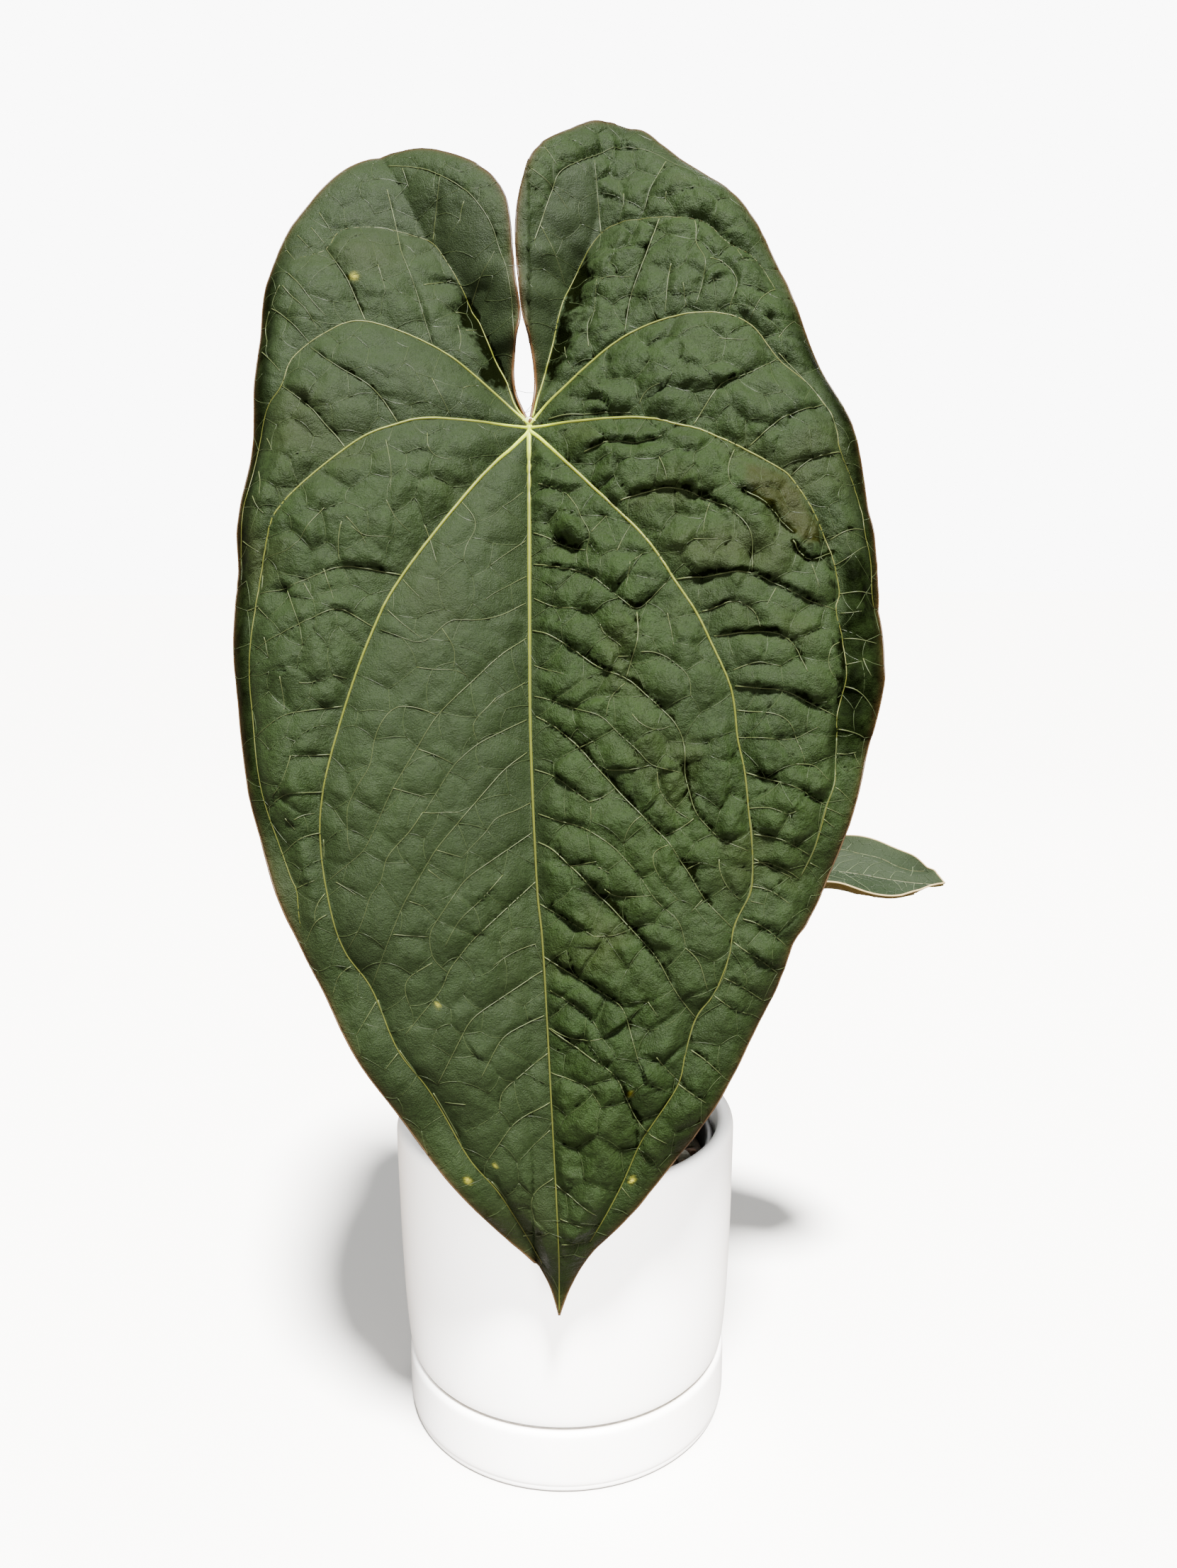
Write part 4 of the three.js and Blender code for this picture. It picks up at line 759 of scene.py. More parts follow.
def cellNet(pitch, anchors, seed):
    # A net of crooked six-sided cells: sites on a slanted lattice are shaken, and each triangle
    # of sites gives a node at its middle. A node close to a vein moves onto it and lies at
    # height 0; the others and the sites have random heights.
    rng = np.random.default_rng(seed)
    reach = 300
    half = (int(2.2 * reach / pitch / 2), int(1.3 * reach / pitch / 2) + 8)
    q, r = np.meshgrid(np.arange(-half[0], half[0]), np.arange(-2 * half[1], 2 * half[1]), indexing="ij")
    sites = np.stack([pitch * (q + r / 2.0), pitch * 0.87 * r], 2)
    sites += rng.uniform(-0.52, 0.52, sites.shape) * pitch
    low = (sites[:-1, :-1] + sites[1:, :-1] + sites[:-1, 1:]) / 3
    high = (sites[1:, :-1] + sites[:-1, 1:] + sites[1:, 1:]) / 3
    starts, ends = straightPieces(anchors)
    along = ends - starts
    owner = np.concatenate([np.full(len(run) - 1, k) for k, run in enumerate(anchors)])

    def settled(nodes):
        # The nodes, the vein that each lies on (-1 for none) and their heights
        flat = nodes.reshape(-1, 2).copy()
        vein = np.full(len(flat), -1)
        middle, farthest, parts = [0, -85 * pitch / 8.6], 330, 24
        away = np.abs(flat - np.array(middle)).max(1)
        for first in np.array_split(np.nonzero(away < farthest)[0], parts):
            gap = flat[first, None] - starts
            t = np.clip((gap * along).sum(2) / (along ** 2).sum(1), 0, 1)
            foot = starts + t[..., None] * along
            d = np.linalg.norm(flat[first, None] - foot, axis=2)
            k = d.argmin(1)
            rows = np.arange(len(first))
            close = d[rows, k] < 0.34 * pitch
            flat[first[close]] = foot[rows, k][close]
            vein[first[close]] = owner[k][close]
        height = np.where(vein < 0, rng.uniform(-1, 0.7, len(flat)), 0)
        shape = nodes.shape[:2]
        return flat.reshape(nodes.shape), vein.reshape(shape), height.reshape(shape)

    return {"pitch": pitch, "half": half, "sites": sites, "low": settled(low), "high": settled(high),
            "siteHeight": rng.uniform(-0.1, 1.0, sites.shape[:2])}


def cellField(x, y, net):
    # The net as a faceted surface: every cell is a fan of flat triangles round its site. Gives
    # the height there, how close the point is to its site (0 on the net, 1 at the site), and how
    # far above the site it lies (-1 to 1). A point lies in the triangle where its shares of the
    # site and of both nodes are all positive, and the height is the sum of share * height.
    pitch, (halfQ, halfR) = net["pitch"], net["half"]
    low, high = net["low"][::2], net["high"][::2]
    r0 = np.rint(y / (0.87 * pitch)).astype(int)
    q0 = np.rint(x / pitch - r0 / 2).astype(int)
    height, inward, up = np.zeros(len(x)), np.zeros(len(x)), np.zeros(len(x))
    around = [(low, 0, 0), (high, -1, 0), (low, -1, 0), (high, -1, -1), (low, 0, -1), (high, 0, -1)]
    for dq, dr in ((a, b) for a in range(-2, 3) for b in range(-2, 3) if abs(a + b) < 3):
        q, r = q0 + dq + halfQ, r0 + dr + 2 * halfR
        site, siteHeight = net["sites"][q, r], net["siteHeight"][q, r]
        ring = [(place[q + a, r + b] - site, tall[q + a, r + b]) for (place, tall), a, b in around]
        px, py = x - site[:, 0], y - site[:, 1]
        lift = py / (np.hypot(px, py) + 1e-6)
        for k in range(6):
            (a, heightA), (b, heightB) = ring[k], ring[(k + 1) % 6]
            whole = a[:, 0] * b[:, 1] - a[:, 1] * b[:, 0]
            whole = np.where(np.abs(whole) < 1e-6, 1e-6, whole)
            shareA = (px * b[:, 1] - py * b[:, 0]) / whole
            shareB = (a[:, 0] * py - a[:, 1] * px) / whole
            rest = 1 - shareA - shareB
            hit = (shareA >= -1e-6) & (shareB >= -1e-6) & (rest >= -1e-6)
            height = np.where(hit, rest * siteHeight + shareA * heightA + shareB * heightB, height)
            inward = np.where(hit, rest, inward)
            up = np.where(hit, lift, up)
    return height, inward, up


def netLines(net, inside, seed):
    # The net's own lines: nodes of touching triangles joined, those along a vein left out, a
    # few more at random, and those that cross the outline cut there by halving
    low, lowVein, _ = net["low"]
    high, highVein, _ = net["high"]
    joins = [((low, lowVein), (high, highVein)), ((low[1:], lowVein[1:]), (high[:-1], highVein[:-1])),
             ((low[:, 1:], lowVein[:, 1:]), (high[:, :-1], highVein[:, :-1]))]
    a, b = (np.concatenate([join[k][0].reshape(-1, 2) for join in joins]) for k in (0, 1))
    veinA, veinB = (np.concatenate([join[k][1].ravel() for join in joins]) for k in (0, 1))
    keep = ~((veinA >= 0) & (veinA == veinB)) & (np.linalg.norm(a - b, axis=1) > 0.12 * net["pitch"])
    keep &= np.random.default_rng(seed).uniform(0, 1, len(a)) > 0.12
    a, b = a[keep], b[keep]
    insideA, insideB = inside(a), inside(b)
    swap = insideB & ~insideA
    a, b = np.where(swap[:, None], b, a), np.where(swap[:, None], a, b)
    keep = insideA | insideB
    a, b, whole = a[keep], b[keep], (insideA & insideB)[keep]
    near, far = np.zeros(len(a)), np.ones(len(a))
    for _ in range(8):
        middle = (near + far) / 2
        hit = inside(a + (b - a) * middle[:, None])
        near, far = np.where(hit, middle, near), np.where(hit, far, middle)
    return a, a + (b - a) * np.where(whole, 1, near)[:, None]


def crumple(x, y, copy):
    # How strongly the blade is crumpled there: less between the midrib and the parting rib, and
    # least in the calm places
    side = -1 if copy["mirrored"] else 1
    x, y = side * x / copy["scale"], y / copy["scale"]
    rib = np.interp(y, partingRib[:, 1], partingRib[:, 0])
    inner = 0.36 + 0.64 * easeStep(-2, 4, x - midribOffset * y / tipHeight)
    outerLeft = 0.62 * easeStep(-2, 5, rib - x)
    value = np.maximum(inner, outerLeft)
    value = np.where(y > -4, np.maximum(value * 0.85, 0.68), value)
    value *= 1 - 0.8 * np.maximum(shareInside(x, y, leftCalm, 1.5), shareInside(x, y, rightCalm, 1.5))
    upper = easeStep(-30, 4, y) * (x < 0) * 0.3
    return value * (1 - upper) * (0.85 + 0.3 * cloud(x, y, 34, 5))


def hemShare(x, y, marginDistance):
    # How far the hem rolls back, 0 to 1: most between these heights on either side. And how much painted
    # shade darkens its colour: wherever it rolls, and in a wider band at the right.
    left = easeStep(-150, -110, y) * easeStep(75, 45, y)
    right = 0.25 + 0.75 * easeStep(-75, -50, y) * easeStep(50, 20, y)
    hem = np.where(x < 0, left, right)
    band = (x > 0) * easeStep(-118, -105, y) * easeStep(-40, -52, y) * easeStep(16, 12, marginDistance)
    return hem, np.maximum(hem * easeStep(9, 3, marginDistance), band)


def rowHeights(tip, notch, apex, step):
    # Rows a step apart from the tip to the notch and on up the lobe, closer toward its top, where
    # the last fifth of them follows a quarter of a sine
    common = int(round((notch - tip) / step / 2)) * 2 + 1
    lobe = int(round((apex - notch) / step * 1.06 / 2)) * 2 + 1
    ease = np.linspace(0, 1, lobe)
    ease = np.where(ease < 0.8, ease, 0.8 + 0.2 * np.sin((ease - 0.8) / 0.2 * np.pi / 2))
    ease = ease / ease[-1]
    return np.concatenate([np.linspace(tip, notch, common), notch + (apex - notch) * ease[1:]])


def lowerFace(z, thick):
    # 0.45 of the upper face's height and 0.55 of the lowest height around each point, less the
    # thickness
    rows, columns = z.shape
    padded = np.pad(z, 1, mode="edge")
    lowest = np.min([padded[i:i + rows, j:j + columns] for i in range(3) for j in range(3)], 0)
    return 0.45 * z + 0.55 * lowest - thick


def rimFaces(edge, lowEdge):
    # Each piece of the lower face's edge joins the two pieces of the upper one above it
    a, b, c = edge[0:-2:2], edge[1:-1:2], edge[2::2]
    p, q = lowEdge[:-1], lowEdge[1:]
    return np.concatenate([np.stack([a, p, b], 1), np.stack([b, p, q], 1), np.stack([b, q, c], 1)])


def turnedOver(faces, over):
    # The faces, or the same ones seen from behind
    return faces[:, ::-1] if over else faces


def makeBlade(form, copy, step, seed):
    # One blade as two grids, left and right of the midrib: rows run up the page, and columns from
    # the midrib or sinus edge out to the margin. A point's height is its broad form plus bulges
    # between the veins and a net of small cells, less the creases. The lower face has every second
    # row and column, a thickness below the lowest of the points around each, and a rim joins both.
    side = -1 if copy["mirrored"] else 1
    middle = smoothRun(copied(midrib, copy), 1.0)
    sinuses = [smoothRun(copied(line, copy), 1.0) for line in (sinusLeft, sinusRight)[::side]]
    margins = [smoothRun(copied(line, copy), 1.0) for line in (marginLeft, marginRight)[::side]]
    ribs = [smoothRun(copied(line, copy), 4 * copy["scale"]) for line in mainVeins]
    folds = [{"alongVein": False, "name": "crease", **group,
              "run": kinkedRun(copied(line, copy), 3 * copy["scale"]),
              "fallX": group["falls"][0] * side, "fallY": group["falls"][1],
              "shade": group["shade"] * copy["scale"]}
             for group in creaseSets for line in group["lines"]]
    free = [fold for fold in folds if not fold["alongVein"]]
    bound = [[fold for fold in folds if fold["alongVein"] and (fold["run"][0, 0] > 0) == right]
             for right in (False, True)]
    tears = [fold["run"] for fold in folds if fold["name"] == "tear"]
    tip = middle[-1, 1] - copy["scale"]
    notch = copy["scale"]

    def edges(half, y):
        # Where the row at height y starts and ends in that half
        sinus, margin = sinuses[half], margins[half]
        inner = np.where(y > notch, np.interp(y, sinus[:, 1], sinus[:, 0]),
                         np.interp(y, middle[::-1, 1], middle[::-1, 0]))
        return inner, np.interp(y, margin[::-1, 1], margin[::-1, 0])

    def inside(p):
        # Whether a point lies between the edges of its row, in either half
        x, y = p.T
        out = np.zeros(len(p), bool)
        for half in (0, 1):
            inner, outer = edges(half, y)
            low, high = np.minimum(inner, outer), np.maximum(inner, outer)
            out |= (x > low) & (x < high) & (y > tip) & (y < sinuses[half][-1, 1])
        return out

    net = cellNet(form["platePitch"], ribs + [fold["run"] for fold in free], seed)
    small = cellNet(form["cellPitch"], ribs, seed + 7)

    def height(x, y, marginDistance, sinusDistance, half):
        # The upper face's height, and the marks that its material reads
        rib = nearest(x, y, ribs)
        plate, inward, up = cellField(x, y, net)
        facet = cellField(x, y, small)[0]
        rough = crumple(x, y, copy)
        # The top of a lobe bends back on its sinus side too, and less further down that side
        lobeTop = sinuses[half][-1, 1]
        bendDistance = sinusDistance + form["capFade"] * easeStep(lobeTop - 6, lobeTop - 50, y)
        broad = broadHeight(x, y, np.minimum(marginDistance, bendDistance + form["capStart"]), form)
        swell = form["bulge"] * (1 - np.exp(-rib / form["bulgeReach"]))
        # Strong, middling and faint creases add up; one along a vein counts where it is deeper
        dip, shade = 0, 0
        for weakest, strongest in ((0.7, 9), (0.3, 0.7), (0, 0.3)):
            level = [fold for fold in free if weakest <= fold["strength"] < strongest]
            levelDip, levelShade = creaseField(x, y, level, form)
            dip, shade = dip + levelDip, np.maximum(shade, levelShade)
        veinDip, veinShade = creaseField(x, y, bound[half], form, 0.0, form["ledge"])
        nearTip = easeStep(-175, -200, y / copy["scale"])
        dip = np.minimum(dip, form["creaseDeepest"]) * (0.85 + 0.3 * facet) * (1 - 0.3 * nearTip)
        awayFromRib = 1 - np.exp(-rib / form["creaseRibGap"])
        crease = form["creaseDepth"] * np.maximum(dip * awayFromRib, veinDip)
        # Plates and cells, calmer by the ribs, in the creases and by the edge. A tile is flat on top
        # and falls to the net over a distance that is longer above its site than below it.
        calm = (1 - np.exp(-rib / form["calmRibGap"])) * (1 - 0.6 * np.minimum(dip, 1))
        edge = np.minimum(marginDistance, sinusDistance)
        calm = calm * (0.2 + 0.8 * easeStep(*form["calmEdge"], edge))
        soft = 0.12 * 10 ** (0.5 + 0.5 * up)
        tile = (1 - np.exp(-inward / soft)) / (1 - np.exp(-1 / soft))
        plates = form["plateDepth"] * (form["plateShare"] * plate + form["tileShare"] * tile)
        dome = rough * calm * (plates + form["cellDepth"] * facet)
        s = form["cellPitch"] / 7.0
        wander = sum(share * cloud(x, y, pitch * s, draw) for share, pitch, draw in form["wrinkles"])
        heights = broad + swell - crease + dome + form["wrinkleDepth"] * rough * wander * calm
        hem, hemShade = hemShare(x, y, marginDistance)
        heights -= form["hemRoll"] * hem * np.exp(-marginDistance / form["hemReach"])
        # Painted shade, carried by the mark crease: the shadowed foot of each crease and vein, a line of
        # painted shade along each tear, and darkening beside the ribs and at the lower edge of each plate
        paintedShade = np.maximum(shade * easeStep(0, 1.5, rib), veinShade)
        paintedShade = np.maximum(paintedShade, form["tearShade"] * np.exp(-nearest(x, y, tears) ** 2))
        foot = rough * easeStep(0.3, -0.6, up) * np.exp(-inward / 0.1)
        ribAndPlateShade = form["ribShade"] * np.exp(-rib) + form["netShade"] * foot
        return heights, {"crease": np.maximum(paintedShade, ribAndPlateShade), "smooth": 1 - np.clip(rough * 1.1, 0, 1),
                         "hem": hemShade * (form["hemRoll"] > 0)}

    points, faces, surfaces, start = [], [], [], 0
    marks = {"crease": [], "smooth": [], "hem": [], "below": [], "edge": []}
    for half in (0, 1):
        rows = rowHeights(tip, notch, sinuses[half][-1, 1], step)
        inner, outer = edges(half, rows)
        columns = int(round(np.abs(outer - inner).max() / step / 2)) * 2 + 1
        x = inner[:, None] + np.linspace(0, 1, columns) * (outer - inner)[:, None]
        y = np.repeat(rows[:, None], columns, 1)
        marginGap, sinusGap = nearest(x, y, margins), nearest(x, y, sinuses)
        z, fields = height(x.ravel(), y.ravel(), marginGap, sinusGap, half)
        z = z.reshape(x.shape)
        edgeGap = np.minimum(marginGap, sinusGap)
        thick = form["rimThickness"] + (form["thickness"] - form["rimThickness"]) * (
            1 - np.exp(-edgeGap / form["rimReach"]))
        low = lowerFace(z, thick.reshape(x.shape))
        surfaces.append({"rows": rows, "upper": z, "lower": low})
        upper = np.stack([x, y, z], 2)
        lower = np.stack([x, y, low], 2)[::2, ::2]
        points += [upper.reshape(-1, 3), lower.reshape(-1, 3)]
        index = start + np.arange(x.size).reshape(x.shape)
        lowIndex = start + x.size + np.arange(lower[..., 0].size).reshape(lower.shape[:2])
        faces.append(turnedOver(gridFaces(len(rows), columns, start), half == 0))
        faces.append(turnedOver(gridFaces(*lower.shape[:2], start + x.size), half == 1))
        sinusRows = rows >= notch - 1e-6
        for edge, lowEdge, over in (
                (index[:, -1], lowIndex[:, -1], half == 0), (index[-1], lowIndex[-1], half == 1),
                (index[sinusRows, 0], lowIndex[sinusRows[::2], 0], half == 1)):
            faces.append(turnedOver(rimFaces(edge, lowEdge), over))
        fields["edge"] = np.exp(-edgeGap / form["edgeReach"])
        for mark, values in fields.items():
            field = values.reshape(x.shape)
            marks[mark] += [field.ravel(), field[::2, ::2].ravel()]
        marks["below"] += [np.zeros(x.size), np.ones(lowIndex.size)]
        start += x.size + lowIndex.size
    points = np.concatenate(points)
    first, faces = weld(points, np.concatenate(faces))

    def onSurface(x, y, face="upper"):
        # A face's height at a point, read between the four grid points around it
        out = np.zeros(len(x))
        midribX = np.interp(y, middle[::-1, 1], middle[::-1, 0])
        for half, surface in enumerate(surfaces):
            mine = (x < midribX) if half == 0 else (x >= midribX)
            h = surface[face]
            rows, columns = h.shape
            v = np.interp(y, surface["rows"], np.arange(rows))
            inner, outer = edges(half, y)
            u = np.clip((x - inner) / (outer - inner + 1e-9), 0, 1) * (columns - 1)
            i, j = np.minimum(v.astype(int), rows - 2), np.minimum(u.astype(int), columns - 2)
            s, t = v - i, u - j
            value = ((1 - s) * ((1 - t) * h[i, j] + t * h[i, j + 1])
                     + s * ((1 - t) * h[i + 1, j] + t * h[i + 1, j + 1]))
            out = np.where(mine, value, out)
        return out

    marks = {mark: np.concatenate(values)[first] for mark, values in marks.items()}
    return {"points": points[first], "faces": faces, "marks": marks, "onSurface": onSurface,
            "ribs": ribs, "folds": folds, "net": netLines(net, inside, seed + 50),
            "margins": margins, "sinuses": sinuses}


def placing(origin, across, up):
    # The way from a blade's own millimetres to the part's, origin + x * across + y * up + z * normal,
    # and that normal, which is square to across and up
    normal = np.cross(across, up)

    def place(p):
        # Points of the blade as points of the part
        return origin + p[:, :1] * across + p[:, 1:2] * up + p[:, 2:3] * normal

    return place, normal


def markWear(blade, wear):
    # The dry patch, its edge made ragged by a cloud, and flecks: strength * exp(-(distance / size) ^ 2)
    x, y = blade["points"][:, :2].T
    ragged = 1.2 * cloud(x, y, 3.5, 21)
    dry = shareInside(x + ragged, y + ragged, wear["dryPatch"], 1.6)
    blade["marks"]["dry"] = dry * (0.7 + 0.2 * cloud(x, y, 5, 22))
    gap = np.linalg.norm(blade["points"][:, None, :2] - wear["fleckPlaces"], axis=2)
    fleck = wear["fleckStrengths"] * np.exp(-(gap / wear["fleckSizes"]) ** 2)
    blade["marks"]["fleck"] = fleck.max(1)


# Main leaf
lean = math.radians(12)
mainOrigin = np.array([-10.5, -24, 370])
mainAcross = np.array([1.0, 0, 0])
mainUp = np.array([0, math.sin(lean), math.cos(lean)])
mainCopy = {"scale": 1.0, "blunt": 0.0, "mirrored": False}
mainLook = {
    # The near-black tones for the creases and the hem are painted shade
    "deep": tone(12, 20, 5), "mid": tone(18, 27, 8), "fresh": tone(21, 38, 7),
    "warm": tone(28, 29, 9), "cool": tone(18, 25, 12), "paintedShade": tone(3, 4, 1), "hem": tone(3, 5, 1),
    "pale": tone(32, 41, 20), "dry": tone(23, 24, 5), "fleck": tone(140, 136, 42),
    "edge": tone(40, 30, 14), "belowDeep": tone(62, 80, 42), "belowPale": tone(72, 91, 51),
    "specular": 0.05, "roughLow": 0.46, "roughHigh": 0.6, "wrinkle": 0.8, "grain": 0.9,
}
mainWear = {
    "dryPatch": np.array([[70, -18], [79, -20.5], [86, -27], [91, -37.5], [92, -44], [88.5, -45],
                          [84, -41], [79, -35.5], [76.5, -32], [69, -26.5]]),
    "fleckPlaces": np.array([[-20.3, -244.5], [31.3, -245], [-58, 50.4], [-28.5, -188], [30.6, -216],
                             [-11.7, -239.7]]),
    "fleckSizes": np.array([0.75, 0.7, 1.0, 0.6, 0.6, 0.55]),
    "fleckStrengths": np.array([1.0, 1.0, 0.55, 0.4, 0.5, 0.4]),
}
placeMain, mainNormal = placing(mainOrigin, mainAcross, mainUp)
blade = makeBlade(mainForm, mainCopy, 1.06, 3)
markWear(blade, mainWear)
addPiece("leafMainBlade", placeMain(blade["points"]), blade["faces"], "leaf_green",
         bladeFinish("velvetGreenBlade", mainLook), blade["marks"], "leaf_main")
print("stage: main blade")


# Veins
def addCords(name, lines, sides, flat, place, slotName, material, crested=False):
    # One piece of many cords, each a line with its radius at each point. The mark outward goes from
    # 0 to 1 along a cord, and the mark crest is the sine of the angle round it, on its upper half.
    points, faces = joinParts([cords([line], radius, sides, flat) for line, radius in lines])
    angle = 2 * np.pi * (np.arange(sides) + 0.5) / sides
    upper = np.clip(np.sin(angle), 0, 1) * crested
    outward = [tubeMark(np.linspace(0, 1, len(line)), sides) for line, _ in lines]
    crest = [np.concatenate([[0], np.tile(upper, len(line)), [0]]) for line, _ in lines]
    addPiece(name, place(points), faces, slotName, material,
             {"outward": np.concatenate(outward), "crest": np.concatenate(crest)})


def addVeins(prefix, blade, place, look, slotName):
    # The veins that stand on the blade, each thinning along its way by a power of what is left of
    # it, and the net between them, each line bowed sideways by a sine
    def lying(run, lift, face="upper"):
        # A run in the blade's plane laid on a face: z is the face's height + lift
        z = blade["onSurface"](run[:, 0], run[:, 1], face) + lift
        return np.stack([run[:, 0], run[:, 1], z], 1)

    sideVeins = [fold for fold in blade["folds"] if not fold["alongVein"]]
    strong = [fold["run"] for fold in sideVeins if fold["strength"] >= 0.5 and fold["name"] != "tear"]
    ribs = list(zip(blade["ribs"], look["ribWide"]))

    # Below, the ribs and the stronger side veins stand out as round cords
    lines = []
    for line, wide in ([(rib, look["belowWide"] * wide) for rib, wide in ribs]
                       + [(run, look["foldWide"] * 1.5) for run in strong]):
        run = smoothRun(line, look["ribStep"])
        radius = wide * (0.35 + 0.65 * (1 - np.linspace(0, 1, len(run))) ** 1.3)
        lines.append((lying(run, -0.25 * radius, "lower"), radius))
    addCords(prefix + "VeinsBelow", lines, 8, 1.0, place, slotName, look["belowMaterial"])

    lines = []
    for rib, wide in ribs:
        run = smoothRun(rib, look["ribStep"])
        radius = wide * (0.32 + 0.68 * (1 - np.linspace(0, 1, len(run))) ** look["ribTaper"])
        lines.append((lying(run, radius * look["ribLift"] - look["ribSink"]), radius))
    addCords(prefix + "Ribs", lines, 10, look["ribFlat"], place, slotName, look["ribMaterial"], True)

    lines = []
    for fold in sideVeins:
        run = smoothRun(fold["run"], look["foldStep"])
        radius = look["foldWide"] * (0.5 + 0.5 * fold["strength"]) * (1 - 0.4 * np.linspace(0, 1, len(run)))
        lines.append((lying(run, look["foldLift"]), radius))
    addCords(prefix + "SideVeins", lines, 6, 0.8, place, slotName, look["foldMaterial"])

    a, b = blade["net"]
    t = np.linspace(0, 1, 6)[None, :, None]
    bow = np.random.default_rng(8).uniform(-0.12, 0.12, (len(a), 1, 1))
    across = np.stack([a[:, 1] - b[:, 1], b[:, 0] - a[:, 0]], 1)[:, None]
    line = a[:, None] * (1 - t) + b[:, None] * t + bow * across * np.sin(np.pi * t)
    z = blade["onSurface"](line[..., 0].ravel(), line[..., 1].ravel()).reshape(*line.shape[:2], 1)
    points, faces = cords(np.concatenate([line, z + look["netLift"]], 2), look["netWide"], 3, 0.8)
    addPiece(prefix + "Net", place(points), faces, slotName, look["netMaterial"],
             {"outward": np.full(len(points), 0.5), "crest": np.zeros(len(points))})


def addRim(prefix, blade, place, look, slotName):
    # The rim: a cord of even width along the margins, and up the sinus one that starts wider:
    # margin width + (sinus width - margin width) * exp(-3.5 * share)
    for name, runs, wide in (("Margin", blade["margins"], look["marginWide"]),
                             ("Sinus", blade["sinuses"], look["sinusWide"])):
        lines = []
        for run in runs:
            thinning = np.exp(-3.5 * np.linspace(0, 1, len(run)))
            z = blade["onSurface"](run[:, 0], run[:, 1]) - look["rimSink"]
            lines.append((np.stack([run[:, 0], run[:, 1], z], 1),
                          look["marginWide"] + (wide - look["marginWide"]) * thinning))
        addCords(prefix + name, lines, 8, 1.0, place, slotName, look[name.lower() + "Material"])


mainVeinLook = {
    "ribStep": 1.6, "ribWide": [0.95, 0.66, 0.66, 0.58, 0.58, 0.54, 0.54, 0.36, 0.36],
    "ribTaper": 2.6, "ribLift": 0.35, "ribSink": 0.12, "ribFlat": 0.9, "belowWide": 1.5,
    "foldStep": 1.2, "foldWide": 0.24, "foldLift": 0.08, "netWide": 0.11, "netLift": 0.04,
    "ribMaterial": veinFinish("goldenRib", tone(96, 104, 26), tone(35, 37, 14), tone(66, 69, 22),
                              tone(196, 216, 46)),
    "foldMaterial": veinFinish("paleSideVein", tone(54, 60, 34), tone(42, 48, 26), tone(56, 62, 36)),
    "netMaterial": veinFinish("faintNet", tone(36, 44, 23), tone(36, 44, 23), tone(36, 44, 23)),
    "belowMaterial": veinFinish("paleVeinBelow", tone(132, 142, 78), tone(104, 118, 60),
                                tone(132, 142, 78)),
}
mainRimLook = {
    "marginWide": 0.38, "sinusWide": 0.62, "rimSink": 0.3,
    "marginMaterial": veinFinish("brownMargin", tone(58, 44, 28), tone(58, 44, 28), tone(70, 54, 34)),
    "sinusMaterial": veinFinish("reddishSinusRim", tone(64, 42, 18), tone(40, 30, 18),
                                tone(74, 52, 26)),
}
addVeins("leafMain", blade, placeMain, mainVeinLook, "leaf_green")
addRim("leafMain", blade, placeMain, mainRimLook, "leaf_green")
print("stage: main veins and rim")

# Second leaf
secondOrigin = np.array([30.0, 56, 195])
secondUp = np.array([-122.5, 34, -3.5]) / np.linalg.norm([-122.5, 34, -3.5])
secondAcross = np.cross(secondUp, np.array([0, -0.05, 1]))
secondAcross /= np.linalg.norm(secondAcross)
secondCopy = {"scale": secondScale, "blunt": 4.0, "mirrored": True}
secondLook = {
    **mainLook, "deep": tone(12, 20, 8), "mid": tone(20, 27, 15), "fresh": tone(22, 33, 15),
    # The young leaf's crease tone is painted shade too
    "warm": tone(33, 33, 22), "cool": tone(31, 37, 26), "paintedShade": tone(12, 16, 8),
    "pale": tone(40, 46, 34), "edge": tone(36, 42, 26), "belowDeep": tone(64, 52, 22),
    "belowPale": tone(84, 70, 36), "wrinkle": 0.35, "specular": 0.03, "roughLow": 0.55,
    "roughHigh": 0.7,
}
secondVeinLook = {
    **mainVeinLook, "ribStep": 1.0, "ribWide": [0.7, 0.5, 0.5, 0.42, 0.42, 0.4, 0.4, 0.34, 0.34],
    "foldStep": 0.8, "netWide": 0.12,
    "ribMaterial": veinFinish("youngRib", tone(70, 70, 44), tone(52, 54, 34), tone(76, 74, 50)),
    "foldMaterial": veinFinish("youngSideVein", tone(58, 66, 46), tone(50, 57, 39), tone(62, 70, 50)),
    "netMaterial": veinFinish("youngNet", tone(34, 42, 26), tone(34, 42, 26), tone(34, 42, 26)),
    "belowMaterial": veinFinish("youngVeinBelow", tone(112, 104, 62), tone(90, 84, 46),
                                tone(112, 104, 62)),
}
secondRimLook = {
    **mainRimLook, "marginWide": 0.34, "sinusWide": 0.5, "rimSink": 0.25,
    "marginMaterial": veinFinish("creamMargin", tone(136, 120, 84), tone(136, 120, 84),
                                 tone(144, 130, 92)),
}
placeSecond, secondNormal = placing(secondOrigin, secondAcross, secondUp)
young = makeBlade(secondForm, secondCopy, 0.9, 4)
for mark in ("dry", "fleck"):
    young["marks"][mark] = np.zeros(len(young["points"]))
addPiece("leafSecondBlade", placeSecond(young["points"]), young["faces"], "leaf_young",
         bladeFinish("youngBlade", secondLook), young["marks"], "leaf_second")
addVeins("leafSecond", young, placeSecond, secondVeinLook, "leaf_young")
addRim("leafSecond", young, placeSecond, secondRimLook, "leaf_young")
print("stage: second leaf")


